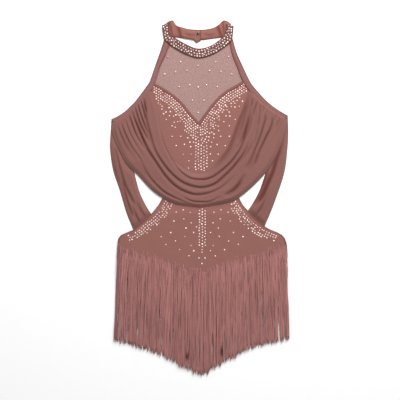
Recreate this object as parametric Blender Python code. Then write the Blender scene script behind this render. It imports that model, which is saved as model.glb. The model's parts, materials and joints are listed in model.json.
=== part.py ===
"""Backless latin dance leotard with a draped swag and a fringed brief, laid flat and face up.

The garment lies on the plane z = 0 with its collar toward +Y. Sizes below are millimetres, x to
the garment's right as seen from above, and are turned into metres where an object is made. Every
cloth piece is a wall over a patch between four seam curves, so that neighbours share their seams
and keep the same clearance. Pieces that lie on each other are stacked in z with that clearance.
"""

import bpy
import bmesh
import numpy as np
from mathutils import Vector

MM = 0.001
GAP = 0.3

# Cloth walls
NET_WALL = 1.0
JERSEY_WALL = 1.2
BODICE_WALL = 1.4
SWAG_WALL = 2.0
COLLAR_WALL = 2.2
BACK_COLLAR_WALL = 1.2
STRAP_WALL = 1.4
ARMHOLE_WALL = 3.2
BINDING_WALL = 2.0
BINDING_WIDTH = 6.0

# Undersides of the stacked layers of the lower body, from the surface up
BACK_LAYER = 0.0
HIP_BACK_LAYER = BACK_LAYER + JERSEY_WALL + GAP
HIP_FRONT_LAYER = HIP_BACK_LAYER + JERSEY_WALL + GAP
FRINGE_FRONT_LAYER = HIP_FRONT_LAYER + JERSEY_WALL + GAP
SWAG_LAYER = BODICE_WALL + GAP
FRONT_COLLAR_LAYER = BACK_COLLAR_WALL + GAP

# Collar seams, left to right
COLLAR_LOWER = [(-84, 383), (-82, 369.5), (-78.5, 353), (-66.5, 340), (-52, 330), (-30, 318.5),
                (-0.5, 311), (34, 322), (65, 344), (71.5, 356.5), (74, 382)]
COLLAR_UPPER = [(-66.5, 389.5), (-68, 376.5), (-64.5, 362), (-53.5, 355), (-26.5, 340),
                (-2.5, 332.5), (25, 339.5), (50.5, 358.5), (56, 371), (57, 386)]
BACK_LEFT_UPPER = [(-80.5, 384), (-70.5, 391.5), (-60, 394.5), (-52, 384), (-41, 379.5),
                   (-22.5, 375), (2, 373.5)]
BACK_LEFT_LOWER = [(-79.5, 359.5), (-48, 356.5), (-19, 352), (-12.5, 349.5), (-8, 345),
                   (-2, 348), (2, 350)]
BACK_RIGHT_UPPER = [(-14, 373.5), (14, 375), (32, 379.5), (42, 386), (52, 394.5), (62.5, 391.5),
                    (71, 384)]
BACK_RIGHT_LOWER = [(-14, 352), (4.5, 351), (19.5, 353), (53, 357.5), (70, 359.5)]
COLLAR_RAMP_Y = (336, 350)
LAP_RAMP_X = (-52, -32)
SNAP_CENTRE = (-4.4, 363.5)
SNAP_SIZE = (8.0, 11.0)
SNAP_WIRE = 1.6

# Sweetheart neckline: one run to each side of its point. The pieces that meet along it have the
# same even number of columns, so that their edges run parallel.
NECKLINE_COLUMNS = 25
NECKLINE_LEFT = [(-99.5, 256), (-81, 245.5), (-66.5, 236.5), (-52, 225.5), (-37, 211),
                 (-22.5, 192.5), (-3, 170.5)]
NECKLINE_RIGHT = [(-3, 170.5), (19.5, 201.5), (32, 216.5), (46.5, 231), (61, 242), (76, 250.5),
                  (94.5, 261)]

# Strap edges from the collar down to the shoulder corner
STRAP_LEFT_OUTER = [(-79.2, 352.5), (-88, 324.5), (-96, 302.5), (-109.5, 263), (-119, 247.5),
                    (-143, 219), (-176, 187.5), (-196, 176)]
STRAP_LEFT_INNER = [(-67.6, 338.6), (-76, 317), (-86, 296), (-99.5, 258.5), (-108, 241),
                    (-136.5, 213), (-171.5, 181.5), (-192.5, 170)]
STRAP_RIGHT_OUTER = [(72, 354), (80.5, 324.5), (90, 302.5), (108.5, 263), (119, 247.5),
                     (147.5, 219), (180.5, 193.5), (194, 181.5)]
STRAP_RIGHT_INNER = [(66, 341.5), (70.5, 320), (79, 298), (96.5, 259.5), (109, 241),
                     (138.5, 213), (172.5, 187.5), (190.5, 175.5)]

# Shares of the collar's lower edge and of the straps' inner edges that the yoke meets
YOKE_COLLAR_SHARES = (0.208, 0.815)
YOKE_STRAP_SHARES = (0.402, 0.392)

# Front swag: inner edge and hem, one run to each side of the centre front
SWAG_INNER_LEFT = [(-107.5, 240), (-99, 215), (-92, 190), (-84.5, 148.5), (-69.5, 106.5),
                   (-53, 83), (-24, 62.5), (0, 57)]
SWAG_INNER_RIGHT = [(0, 57), (20, 64), (44, 91.5), (61, 115.5), (71, 140.5), (83.5, 175.5),
                    (94.5, 202), (108, 240)]
SWAG_HEM_LEFT = [(-192.5, 169), (-192.5, 146), (-175.5, 104.5), (-161.5, 78.5), (-137.5, 54),
                 (-100, 15), (-55, -9), (0, -17)]
SWAG_HEM_RIGHT = [(0, -17), (57, -7.5), (90, 7), (133, 46), (159.5, 80.5), (178, 120),
                  (190, 161.5), (190, 174.5)]
SWAG_ARMHOLE_LEFT = [(-107.5, 240), (-121, 226.5), (-136.5, 212), (-171.5, 180.5), (-192.5, 169)]
SWAG_ARMHOLE_RIGHT = [(108, 240), (122, 226.5), (138.5, 212), (172.5, 186.5), (190, 174.5)]

# Creases of the front swag. A row per crease: where it lies across the swag (0 at the inner
# edge, 1 at the hem) and how deep it is (0 to 1), at the stations along the swag.
SWAG_STATIONS = (0.0, 0.26, 0.5, 0.74, 1.0)
SWAG_CREASES = (
    # name, across at each station, depth at each station
    ("inner edge", (0.00, 0.00, 0.00, 0.00, 0.00), (1.0, 1.0, 1.0, 1.0, 1.0)),
    ("first", (0.10, 0.12, 0.22, 0.22, 0.12), (0.5, 0.6, 1.0, 0.7, 0.5)),
    ("second", (0.22, 0.31, 0.40, 0.38, 0.28), (0.9, 1.0, 1.0, 0.9, 0.7)),
    ("third", (0.46, 0.47, 0.60, 0.54, 0.48), (0.9, 1.0, 1.0, 0.7, 0.8)),
    ("gather", (0.64, 0.65, 0.72, 0.70, 0.68), (0.8, 0.5, 0.1, 1.0, 0.9)),
    ("fourth", (0.82, 0.84, 0.84, 0.84, 0.83), (0.7, 1.0, 1.0, 0.6, 0.7)),
    ("hem", (1.00, 1.00, 1.00, 1.00, 1.00), (1.0, 1.0, 1.0, 1.0, 1.0)),
)
SWAG_ROLL_STEPS = (0.0, 0.15, 0.4, 0.7, 0.9)
SWAG_ROLL_HEIGHTS = (4.0, 5.5, 7.0, 5.5, 4.0)
ROLL_HEIGHT_PER_WIDTH = 0.42
SWAG_SECTIONS = 41

# Back swag, from the shoulder corner round to the centre back
BACK_OUTER_LEFT = [(-194, 167), (-198, 131), (-198, 109), (-191.5, 65), (-177, 21), (-156, -45),
                   (-125.5, -95.5), (-48.5, -132), (-0.2, -135.5)]
BACK_INNER_LEFT = [(-137, 211), (-141, 175), (-147.5, 87), (-139.5, 38.5), (-125.5, -1),
                   (-97, -43), (-39.5, -81.5), (-0.2, -87)]
BACK_OUTER_RIGHT = [(192.5, 172), (194.5, 145), (192.5, 109), (187, 65), (174, 21), (148.5, -45),
                    (120, -95.5), (48.5, -132), (0.2, -135.5)]
BACK_INNER_RIGHT = [(139, 211), (143, 175), (148.5, 87), (137.5, 37.5), (120.5, -1),
                    (90, -43), (39.5, -81.5), (0.2, -87)]
BACK_ARMHOLE_LEFT = [(-194, 167), (-171.5, 179.5), (-152, 196), (-137, 211)]
BACK_ARMHOLE_RIGHT = [(192.5, 172), (172.5, 185), (156, 198), (139, 211)]
BACK_ROLL_HEIGHT = 3.6
BACK_ROLL_EDGES = (0.0, 0.3, 0.62, 1.0)
BACK_ROLL_STEPS = (0.0, 0.3, 0.7)
BACK_FADE = 12.0
BACK_SECTIONS = 27

# Bodice side edges from the underarm to the waist, hidden by the swag
BODICE_SIDE_LEFT = [(-103, 249), (-113, 215), (-118, 160), (-104, 95), (-83, 26)]
BODICE_SIDE_RIGHT = [(98.5, 252.5), (113, 215), (118, 160), (104, 95), (83, 26)]

# Brief outline. A row per level: y, left edge, right edge.
BRIEF_ROWS = (
    (25.5, -81.5, 81.5), (3.5, -82.5, 86), (-12, -91.5, 94.5), (-23, -100, 104),
    (-31, -106.5, 110), (-38.5, -114.5, 117.5), (-48.5, -124, 128.5), (-57, -134.5, 138.5),
    (-66, -145, 154), (-72, -159.5, 169.5), (-78, -173.5, 180.5), (-86, -180, 187),
    (-102.5, -182, 191.5), (-137.5, -182.5, 191.5), (-166, -167, 176), (-199, -136.5, 145),
    (-232, -103.5, 112), (-265, -66, 75), (-287, -44, 53), (-300.5, -35, 39.5),
)
BRIEF_COLUMNS = 9
BRIEF_BACK_TOP = [(-180, -86.5), (-120, -104), (4, -118), (130, -104), (187, -86.5)]
BRIEF_RAMP_Y = (-8, -36)

# Fringe
FRINGE_LINE = [(-180, -101), (-77, -134), (5.5, -157), (82, -129), (190, -101)]
FRINGE_HEM = ((-192, -311), (-86, -343), (-51, -364), (2.6, -392), (53, -361), (111.5, -328),
              (198, -308))
FRINGE_TAPE = 10.0
FRINGE_SPREAD = ((-180, -190), (190, 197))
STRAND_SHARE = 0.58
STRAND_KNEE = (2.3, 1.0)
STRAND_END = (1.9, 0.9)
STRAND_LEAST_DROP = 25.0
STRAND_LIFT = 0.2
STRAND_WAVE = 1.2
STRAND_UNEVEN = 3.0
LEG_MARGIN = 6.0
FRONT_STRANDS = 84
BACK_STRANDS = 68

# Colours, linear
DUSTY_ROSE = (0.314, 0.136, 0.114)
DEEP_ROSE = (0.270, 0.118, 0.100)
NET_ROSE = (0.474, 0.305, 0.283)
SNAP_METAL = (0.45, 0.34, 0.32)


def along(*runs):
    """Smooth curve through hand-set points as a function of 0..1. Runs meet at a sharp corner
    and share 0..1 evenly; in each, the share goes by length."""
    tables = []
    for run in runs:
        points = np.array(run, float)
        ends = np.vstack([2 * points[0] - points[1], points, 2 * points[-1] - points[-2]])
        steps = np.linspace(0, 1, 24, endpoint=False)[:, None]
        pieces = []
        for a, b, c, d in zip(ends, ends[1:], ends[2:], ends[3:]):
            cubic = (2 * b + (c - a) * steps + (2 * a - 5 * b + 4 * c - d) * steps ** 2
                     + (3 * b - a - 3 * c + d) * steps ** 3)
            pieces.append(0.5 * cubic)
        fine = np.vstack(pieces + [points[-1:]])
        length = np.concatenate([[0], np.cumsum(np.linalg.norm(np.diff(fine, axis=0), axis=1))])
        tables.append((length / length[-1], fine))

    def curve(share):
        share = np.asarray(share, float)
        scaled = share * len(tables)
        which = np.clip(scaled.astype(int), 0, len(tables) - 1)
        point = np.zeros(share.shape + (2,))
        for index, (length, fine) in enumerate(tables):
            here = which == index
            for axis in (0, 1):
                point[here, axis] = np.interp(scaled[here] - index, length, fine[:, axis])
        return point

    return curve


def straight(start, end):
    """Straight seam between two points as a function of 0..1."""
    return lambda share: np.asarray(start) + (np.subtract(end, start)) * np.asarray(share)[..., None]


def part_of(curve, first, last):
    """The stretch of a curve between two shares of its length."""
    return lambda share: curve(first + (last - first) * np.asarray(share))


def moved_aside(curve, distance, samples=200):
    """A curve moved to the right of its travel by a distance, mitred at its corners."""
    shares = np.linspace(0, 1, samples + 1)
    points = curve(shares)
    run = np.gradient(points, axis=0)
    run /= np.linalg.norm(run, axis=1)[:, None]
    before = np.vstack([run[:1], run[:-1]])
    miter = 1 / np.clip(np.sqrt((1 + np.sum(before * run, axis=1)) / 2), 0.6, 1)
    side = np.column_stack([run[:, 1], -run[:, 0]]) * (distance * miter)[:, None]
    shifted = points + side

    def aside(share):
        return np.stack([np.interp(share, shares, shifted[:, axis]) for axis in (0, 1)], axis=-1)

    return aside


def patch(u, v, top, bottom, left, right):
    """Points of the patch between four seams, u from left to right and v from top to bottom."""
    u1, v1 = u[..., None], v[..., None]
    corners = ((1 - u1) * (1 - v1) * top(np.array(0.0)) + u1 * (1 - v1) * top(np.array(1.0))
               + (1 - u1) * v1 * bottom(np.array(0.0)) + u1 * v1 * bottom(np.array(1.0)))
    return ((1 - v1) * top(u) + v1 * bottom(u) + (1 - u1) * left(v) + u1 * right(v) - corners)


def even(columns, rows):
    """Even u and v grids for a patch."""
    return np.meshgrid(np.linspace(0, 1, columns), np.linspace(0, 1, rows))


def rise(value, low, high):
    """Smooth 0 to 1 as a value goes from low to high."""
    t = np.clip((np.asarray(value, float) - low) / (high - low), 0, 1)
    return t * t * (3 - 2 * t)


def through(stations, values, u):
    """Smooth value through its stations."""
    stations, values = np.asarray(stations, float), np.asarray(values, float)
    slope = np.gradient(values, stations)
    i = np.clip(np.searchsorted(stations, u) - 1, 0, len(stations) - 2)
    width = stations[i + 1] - stations[i]
    t = (u - stations[i]) / width
    return ((2 * t ** 3 - 3 * t ** 2 + 1) * values[i] + (t ** 3 - 2 * t ** 2 + t) * width * slope[i]
            + (3 * t ** 2 - 2 * t ** 3) * values[i + 1] + (t ** 3 - t ** 2) * width * slope[i + 1])


def roll(t):
    """Section of one roll of cloth, rising softly from its upper crease and dropping steeply
    into its lower one, 1 at the crest."""
    return np.maximum(1.18 * (1 - (1 - t) ** 2.2) * (1 - t ** 3.6), 0)


def outside_by(xy, outline):
    """Distance of each point to a closed outline, and 0 inside it."""
    x, y = xy[..., 0], xy[..., 1]
    inside = np.zeros(x.shape, bool)
    nearest = np.full(x.shape, np.inf)
    for (ax, ay), (bx, by) in zip(outline, np.roll(outline, -1, axis=0)):
        if ay != by:
            crossing = ax + (y - ay) * (bx - ax) / (by - ay)
            inside ^= ((ay > y) != (by > y)) & (x < crossing)
        span = max((bx - ax) ** 2 + (by - ay) ** 2, 1e-9)
        t = np.clip(((x - ax) * (bx - ax) + (y - ay) * (by - ay)) / span, 0, 1)
        nearest = np.minimum(nearest, np.hypot(x - ax - t * (bx - ax), y - ay - t * (by - ay)))
    return np.where(inside, 0.0, nearest)


def clear_scene():
    for old in list(bpy.data.objects):
        bpy.data.objects.remove(old, do_unlink=True)


def material(name, colour, roughness, metallic=0.0):
    made = bpy.data.materials.new(name)
    made.use_nodes = True
    shader = made.node_tree.nodes["Principled BSDF"]
    shader.inputs["Base Color"].default_value = (*colour, 1.0)
    shader.inputs["Roughness"].default_value = roughness
    shader.inputs["Metallic"].default_value = metallic
    return made


def place(name, bm, look, collection):
    """Close the normals of a finished bmesh and put it in the scene as one named object."""
    bmesh.ops.recalc_face_normals(bm, faces=bm.faces[:])
    mesh = bpy.data.meshes.new(name)
    bm.to_mesh(mesh)
    bm.free()
    mesh.shade_smooth()
    mesh.set_sharp_from_angle(angle=np.radians(40))
    mesh.materials.append(look)
    made = bpy.data.objects.new(name, mesh)
    collection.objects.link(made)
    return made


def cloth_grid(xy, underside, wall):
    """Grid laid through the points at the wall's upper face, then extruded down to its lower."""
    rows, columns = xy.shape[:2]
    underside = np.broadcast_to(underside, xy.shape[:2])
    wall = np.broadcast_to(wall, xy.shape[:2])
    bm = bmesh.new()
    bmesh.ops.create_grid(bm, x_segments=columns - 1, y_segments=rows - 1, size=1.0)
    thickness = bm.verts.layers.float.new("wall")
    for vert in bm.verts:
        column = round((vert.co.x + 1) / 2 * (columns - 1))
        row = round((vert.co.y + 1) / 2 * (rows - 1))
        x, y = xy[row, column]
        top = underside[row, column] + wall[row, column]
        vert.co = Vector((x, y, top)) * MM
        vert[thickness] = wall[row, column] * MM
    bmesh.ops.triangulate(bm, faces=bm.faces[:])
    grown = bmesh.ops.extrude_face_region(bm, geom=bm.faces[:])
    for vert in grown["geom"]:
        if isinstance(vert, bmesh.types.BMVert):
            vert.co.z -= vert[thickness]
    return bm


def brief_lift(y):
    """Underside of the brief's front: on the surface at the waist, over the back layers below."""
    return HIP_FRONT_LAYER * rise(-np.asarray(y, float), -BRIEF_RAMP_Y[0], -BRIEF_RAMP_Y[1])


def brief_outline():
    rows = np.array(BRIEF_ROWS)
    left, right = rows[:, [1, 0]], rows[::-1, [2, 0]]
    return np.vstack([left, right])


def swag_seams():
    return (along(SWAG_INNER_LEFT, SWAG_INNER_RIGHT), along(SWAG_HEM_LEFT, SWAG_HEM_RIGHT),
            along(SWAG_ARMHOLE_LEFT), along(SWAG_ARMHOLE_RIGHT))


def swag_outline(samples=60):
    inner, hem, left, right = swag_seams()
    share = np.linspace(0, 1, samples)
    return np.vstack([inner(share), right(share), hem(share[::-1]), left(share[::-1])])


def make_collar(collection, look):
    """Front half of the band: it lies on the yoke's level at the centre front and climbs onto
    the back half at the sides."""
    u, v = even(35, 4)
    upper, lower = along(COLLAR_UPPER), along(COLLAR_LOWER)
    xy = patch(u, v, upper, lower, straight(COLLAR_UPPER[0], COLLAR_LOWER[0]),
               straight(COLLAR_UPPER[-1], COLLAR_LOWER[-1]))
    lift = FRONT_COLLAR_LAYER * rise(xy[..., 1], *COLLAR_RAMP_Y)
    crown = 0.5 * np.sin(np.pi * v)
    place("collar_front", cloth_grid(xy, lift, COLLAR_WALL + crown), look, collection)


def make_back_collar(collection, look):
    """Two ends of the back band, the left one lapped over the right one at the centre back."""
    ends = (("collar_back_left", BACK_LEFT_UPPER, BACK_LEFT_LOWER, 25),
            ("collar_back_right", BACK_RIGHT_UPPER, BACK_RIGHT_LOWER, 21))
    for name, upper, lower, columns in ends:
        u, v = even(columns, 3)
        xy = patch(u, v, along(upper), along(lower), straight(upper[0], lower[0]),
                   straight(upper[-1], lower[-1]))
        lift = 0.0
        if name == "collar_back_left":
            lift = (BACK_COLLAR_WALL + GAP) * rise(xy[..., 0], *LAP_RAMP_X)
        place(name, cloth_grid(xy, lift, BACK_COLLAR_WALL), look, collection)


def make_snap(collection, look):
    """Small oval ring sewn on the lap."""
    bottom = 2 * (BACK_COLLAR_WALL + GAP)
    bpy.ops.mesh.primitive_torus_add(
        major_segments=16, minor_segments=8, major_radius=(SNAP_SIZE[0] - SNAP_WIRE) / 2 * MM,
        minor_radius=SNAP_WIRE / 2 * MM)
    ring = bpy.context.object
    ring.name = ring.data.name = "collar_snap"
    long_way = SNAP_SIZE[1] / SNAP_SIZE[0]
    for vert in ring.data.vertices:
        x, y, z = vert.co
        vert.co = Vector((x, y * long_way, z)) + Vector(
            (*SNAP_CENTRE, bottom + SNAP_WIRE / 2)) * MM
    ring.data.shade_smooth()
    ring.data.materials.append(look)
    for old in list(ring.users_collection):
        old.objects.unlink(ring)
    collection.objects.link(ring)


def make_straps(collection, look):
    """Side straps; past the neckline each thickens into the binding of the armhole edge."""
    for side, outer, inner in (("left", STRAP_LEFT_OUTER, STRAP_LEFT_INNER),
                               ("right", STRAP_RIGHT_OUTER, STRAP_RIGHT_INNER)):
        u, v = even(27, 3)
        xy = patch(u, v, along(outer), along(inner), straight(outer[0], inner[0]),
                   straight(outer[-1], inner[-1]))
        wall = STRAP_WALL + (ARMHOLE_WALL - STRAP_WALL) * rise(u, 0.42, 0.56)
        place(f"strap_{side}", cloth_grid(xy, 0.0, wall), look, collection)


def neckline():
    return along(NECKLINE_LEFT, NECKLINE_RIGHT)


def make_yoke(collection, look):
    """Even net between collar, straps and neckline, uncut."""
    top = moved_aside(part_of(along(COLLAR_LOWER), *YOKE_COLLAR_SHARES), 2 * GAP)
    bottom = moved_aside(neckline(), -GAP)
    left = moved_aside(part_of(along(STRAP_LEFT_INNER), 0, YOKE_STRAP_SHARES[0]), -2 * GAP)
    right = moved_aside(part_of(along(STRAP_RIGHT_INNER), 0, YOKE_STRAP_SHARES[1]), 2 * GAP)
    u, v = even(NECKLINE_COLUMNS, 9)
    xy = patch(u, v, capped(top, left, right, 0), capped(bottom, left, right, 1), left, right)
    place("yoke_mesh", cloth_grid(xy, 0.0, NET_WALL), look, collection)


def capped(curve, left, right, end):
    """A seam whose two ends are drawn onto the ends of the seams that it meets."""
    start_shift = left(np.array(float(end))) - curve(np.array(0.0))
    end_shift = right(np.array(float(end))) - curve(np.array(1.0))

    def joined(share):
        share = np.asarray(share, float)[..., None]
        near_start = np.clip(1 - share / 0.1, 0, 1)
        near_end = np.clip((share - 0.9) / 0.1, 0, 1)
        return curve(share[..., 0]) + near_start * start_shift + near_end * end_shift

    return joined


def make_binding(collection, look):
    """Plain binding that turns in the top edge of the bodice."""
    upper = neckline()
    lower = moved_aside(upper, BINDING_WIDTH)
    u, v = even(NECKLINE_COLUMNS, 2)
    ends = [straight(upper(np.array(s)), lower(np.array(s))) for s in (0.0, 1.0)]
    xy = patch(u, v, upper, lower, *ends)
    place("neckline_binding", cloth_grid(xy, 0.0, BINDING_WALL), look, collection)


def make_bodice(collection, look):
    """Front bodice from the binding down to the waist seam, flat under the swag."""
    top = moved_aside(neckline(), BINDING_WIDTH + GAP)
    left, right = along(BODICE_SIDE_LEFT), along(BODICE_SIDE_RIGHT)
    bottom = straight(BODICE_SIDE_LEFT[-1], BODICE_SIDE_RIGHT[-1])
    u, v = even(NECKLINE_COLUMNS, 9)
    xy = patch(u, v, capped(top, left, right, 0), bottom, left, right)
    place("bodice_front", cloth_grid(xy, 0.0, BODICE_WALL), look, collection)


def swag_points():
    """Plan points and heights of the front swag, its lines running along the creases."""
    u = np.linspace(0, 1, SWAG_SECTIONS)
    across = [np.clip(through(SWAG_STATIONS, places, u), 0, 1) for _, places, _ in SWAG_CREASES]
    depth = [np.clip(through(SWAG_STATIONS, depths, u), 0, 1) for _, _, depths in SWAG_CREASES]
    inner, hem, left, right = swag_seams()
    span = np.linalg.norm(inner(u) - hem(u), axis=1)
    tall = through(SWAG_STATIONS, SWAG_ROLL_HEIGHTS, u)
    caps = [np.minimum(tall, ROLL_HEIGHT_PER_WIDTH * (low - high) * span)
            for high, low in zip(across, across[1:])]
    floor = [(1 - depth[0]) * caps[0]]
    floor += [(1 - d) * np.minimum(a, b) for d, a, b in zip(depth[1:], caps, caps[1:])]
    floor += [(1 - depth[-1]) * caps[-1]]
    lines, heights = [], []
    for k, cap in enumerate(caps):
        for t in SWAG_ROLL_STEPS:
            lines.append(across[k] + t * (across[k + 1] - across[k]))
            crest = np.maximum(cap - (floor[k] + floor[k + 1]) / 2, 0)
            heights.append(floor[k] * (1 - t) + floor[k + 1] * t + crest * roll(t))
    lines.append(across[-1])
    heights.append(floor[-1])
    v = np.array(lines)
    grid_u = np.broadcast_to(u, v.shape)
    return patch(grid_u, v, inner, hem, left, right), np.array(heights)


def make_swag(collection, look):
    """Large front cowl gathered into both armhole edges."""
    xy, height = swag_points()
    underside = SWAG_LAYER + brief_lift(xy[..., 1]) + height
    place("drape_front", cloth_grid(xy, underside, SWAG_WALL), look, collection)


def make_back_swag(collection, look):
    """Back swag in two halves that meet at the centre back. It is flat where the front swag or
    the brief lies on it and rises into rolls where it shows."""
    lines, crests = [], []
    for start, end in zip(BACK_ROLL_EDGES, BACK_ROLL_EDGES[1:]):
        for t in BACK_ROLL_STEPS:
            lines.append(start + t * (end - start))
            crests.append(float(roll(np.array(t))))
    lines.append(BACK_ROLL_EDGES[-1])
    crests.append(0.0)
    u, v = np.meshgrid(np.linspace(0, 1, BACK_SECTIONS), lines)
    crest = np.broadcast_to(np.array(crests)[:, None], u.shape)
    swag, brief = swag_outline(), brief_outline()
    halves = (("left", BACK_OUTER_LEFT, BACK_INNER_LEFT, BACK_ARMHOLE_LEFT),
              ("right", BACK_OUTER_RIGHT, BACK_INNER_RIGHT, BACK_ARMHOLE_RIGHT))
    for side, outer, inner, armhole in halves:
        xy = patch(u, v, along(outer), along(inner), along(armhole),
                   straight(outer[-1], inner[-1]))
        free = np.minimum(outside_by(xy, swag), outside_by(xy, brief))
        height = BACK_ROLL_HEIGHT * crest * rise(free, 1.0, BACK_FADE)
        bm = cloth_grid(xy, BACK_LAYER + height, JERSEY_WALL)
        place(f"drape_back_{side}", bm, look, collection)


def make_brief(collection, look):
    """Front and back of the brief down to the crotch."""
    rows = np.array(BRIEF_ROWS)
    share = np.linspace(0, 1, BRIEF_COLUMNS)
    x = rows[:, 1:2] + (rows[:, 2:3] - rows[:, 1:2]) * share
    y = np.broadcast_to(rows[:, 0:1], x.shape)
    front = cloth_grid(np.stack([x, y], axis=-1), brief_lift(y), JERSEY_WALL)
    place("hip_front", front, look, collection)

    top_y = BRIEF_BACK_TOP[0][1]
    side_rows = rows[rows[:, 0] < top_y]
    left = along([BRIEF_BACK_TOP[0]] + [(row[1], row[0]) for row in side_rows])
    right = along([BRIEF_BACK_TOP[-1]] + [(row[2], row[0]) for row in side_rows])
    bottom = straight(left(np.array(1.0)), right(np.array(1.0)))
    u, v = even(BRIEF_COLUMNS, len(side_rows) + 3)
    xy = patch(u, v, along(BRIEF_BACK_TOP), bottom, left, right)
    place("hip_back", cloth_grid(xy, HIP_BACK_LAYER, JERSEY_WALL), look, collection)


def leg_line(x):
    """Height in y at which a strand at x leaves the brief below its fringe line."""
    rows = np.array([row for row in BRIEF_ROWS if row[0] <= -137])
    edge = rows[:, 1] if x < 0 else rows[:, 2]
    return np.interp(abs(x), np.abs(edge[::-1]), rows[::-1, 0]) - LEG_MARGIN


def make_fringe(name, strands, underside, end_level, collection, look):
    """Tape with its strands grown out of its lower edge, all one body."""
    rng = np.random.default_rng(len(name) + strands)
    line = along(FRINGE_LINE)
    hem_x, hem_y = zip(*FRINGE_HEM)
    root_x, tip_x = zip(*FRINGE_SPREAD)
    pitch = 1 / strands
    shares = [0.0]
    for k in range(strands):
        shares += [(k + 0.5 - STRAND_SHARE / 2) * pitch, (k + 0.5 + STRAND_SHARE / 2) * pitch]
    shares = np.array(shares + [1.0])
    centre = line(shares)
    half = np.array([0, FRINGE_TAPE / 2])
    bm = cloth_strip(np.stack([centre - half, centre + half]), underside, JERSEY_WALL)
    mark = bm.verts.layers.int["column"]
    lower_side = {}
    for face in bm.faces:
        columns = {vert[mark] for vert in face.verts}
        if len(columns) == 2 and min(columns) > 0:
            lower_side[min(columns) - 1] = face
    for k in range(strands):
        left, right = 2 * k + 1, 2 * k + 2
        root = (centre[left] + centre[right]) / 2 - half
        tip = np.interp(root[0], root_x, tip_x) + STRAND_WAVE * np.sin(0.9 * k + 0.4 * np.sin(k))
        end_y = np.interp(tip, hem_x, hem_y) + rng.uniform(-0.3, 1) * STRAND_UNEVEN
        leave_y = min(leg_line(root[0]), root[1] - STRAND_LEAST_DROP)
        at_leave = (root[1] - leave_y) / (root[1] - end_y)
        stages = (
            (root[0] + (tip - root[0]) * at_leave, leave_y, underside, *STRAND_KNEE),
            (tip, end_y, end_level, *STRAND_END),
        )
        face = lower_side[left]
        for stage in stages:
            face = grow(bm, face, *stage)
    place(name, bm, look, collection)


def cloth_strip(xy, underside, wall):
    """One-row strip as a closed body. Its lower edge carries column numbers, 1 and up."""
    rows, columns = xy.shape[:2]
    bm = bmesh.new()
    bmesh.ops.create_grid(bm, x_segments=columns - 1, y_segments=rows - 1, size=1.0)
    mark = bm.verts.layers.int.new("column")
    for vert in bm.verts:
        column = round((vert.co.x + 1) / 2 * (columns - 1))
        row = round((vert.co.y + 1) / 2 * (rows - 1))
        vert.co = Vector((*xy[row, column], underside + wall)) * MM
        vert[mark] = column + 1 if row == 0 else 0
    grown = bmesh.ops.extrude_face_region(bm, geom=bm.faces[:])
    for vert in grown["geom"]:
        if isinstance(vert, bmesh.types.BMVert):
            vert.co.z -= wall * MM
    return bm


def grow(bm, face, x, y, underside, width, depth):
    """Extrude one end face of a strand to its next section."""
    new = bmesh.ops.extrude_discrete_faces(bm, faces=[face])["faces"][0]
    by_x = sorted(new.verts, key=lambda vert: vert.co.x)
    for pair, side in ((by_x[:2], -0.5), (by_x[2:], 0.5)):
        low, high = sorted(pair, key=lambda vert: vert.co.z)
        for vert, level in ((low, underside), (high, underside + depth)):
            vert.co = Vector((x + side * width, y, level)) * MM
    return new


def main():
    clear_scene()
    garment = bpy.data.collections.new("latin_dance_leotard")
    bpy.context.scene.collection.children.link(garment)
    jersey = material("matte_jersey", DUSTY_ROSE, 0.85)
    swag_jersey = material("swag_jersey", DEEP_ROSE, 0.85)
    net = material("sheer_net", NET_ROSE, 0.9)
    chainette = material("chainette", DUSTY_ROSE, 0.7)
    metal = material("ring_metal", SNAP_METAL, 0.35, 1.0)
    make_collar(garment, jersey)
    make_back_collar(garment, jersey)
    make_snap(garment, metal)
    make_straps(garment, jersey)
    make_yoke(garment, net)
    make_binding(garment, jersey)
    make_bodice(garment, jersey)
    make_swag(garment, swag_jersey)
    make_back_swag(garment, swag_jersey)
    make_brief(garment, jersey)
    strand_floor = BACK_LAYER + STRAND_LIFT
    make_fringe("fringe_back", BACK_STRANDS, BACK_LAYER, strand_floor, garment, chainette)
    front_end = strand_floor + JERSEY_WALL + GAP
    make_fringe("fringe_front", FRONT_STRANDS, FRINGE_FRONT_LAYER, front_end, garment, chainette)


main()
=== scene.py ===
"""Dresses the laid-out latin dance leotard: jersey, net, rolled swag folds, chainette and stones.

Plan sizes in the tables are millimetres in the garment's own frame: x to the right and y toward
the collar as seen from above, z up from the surface that it lies on.
"""
import json

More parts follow.
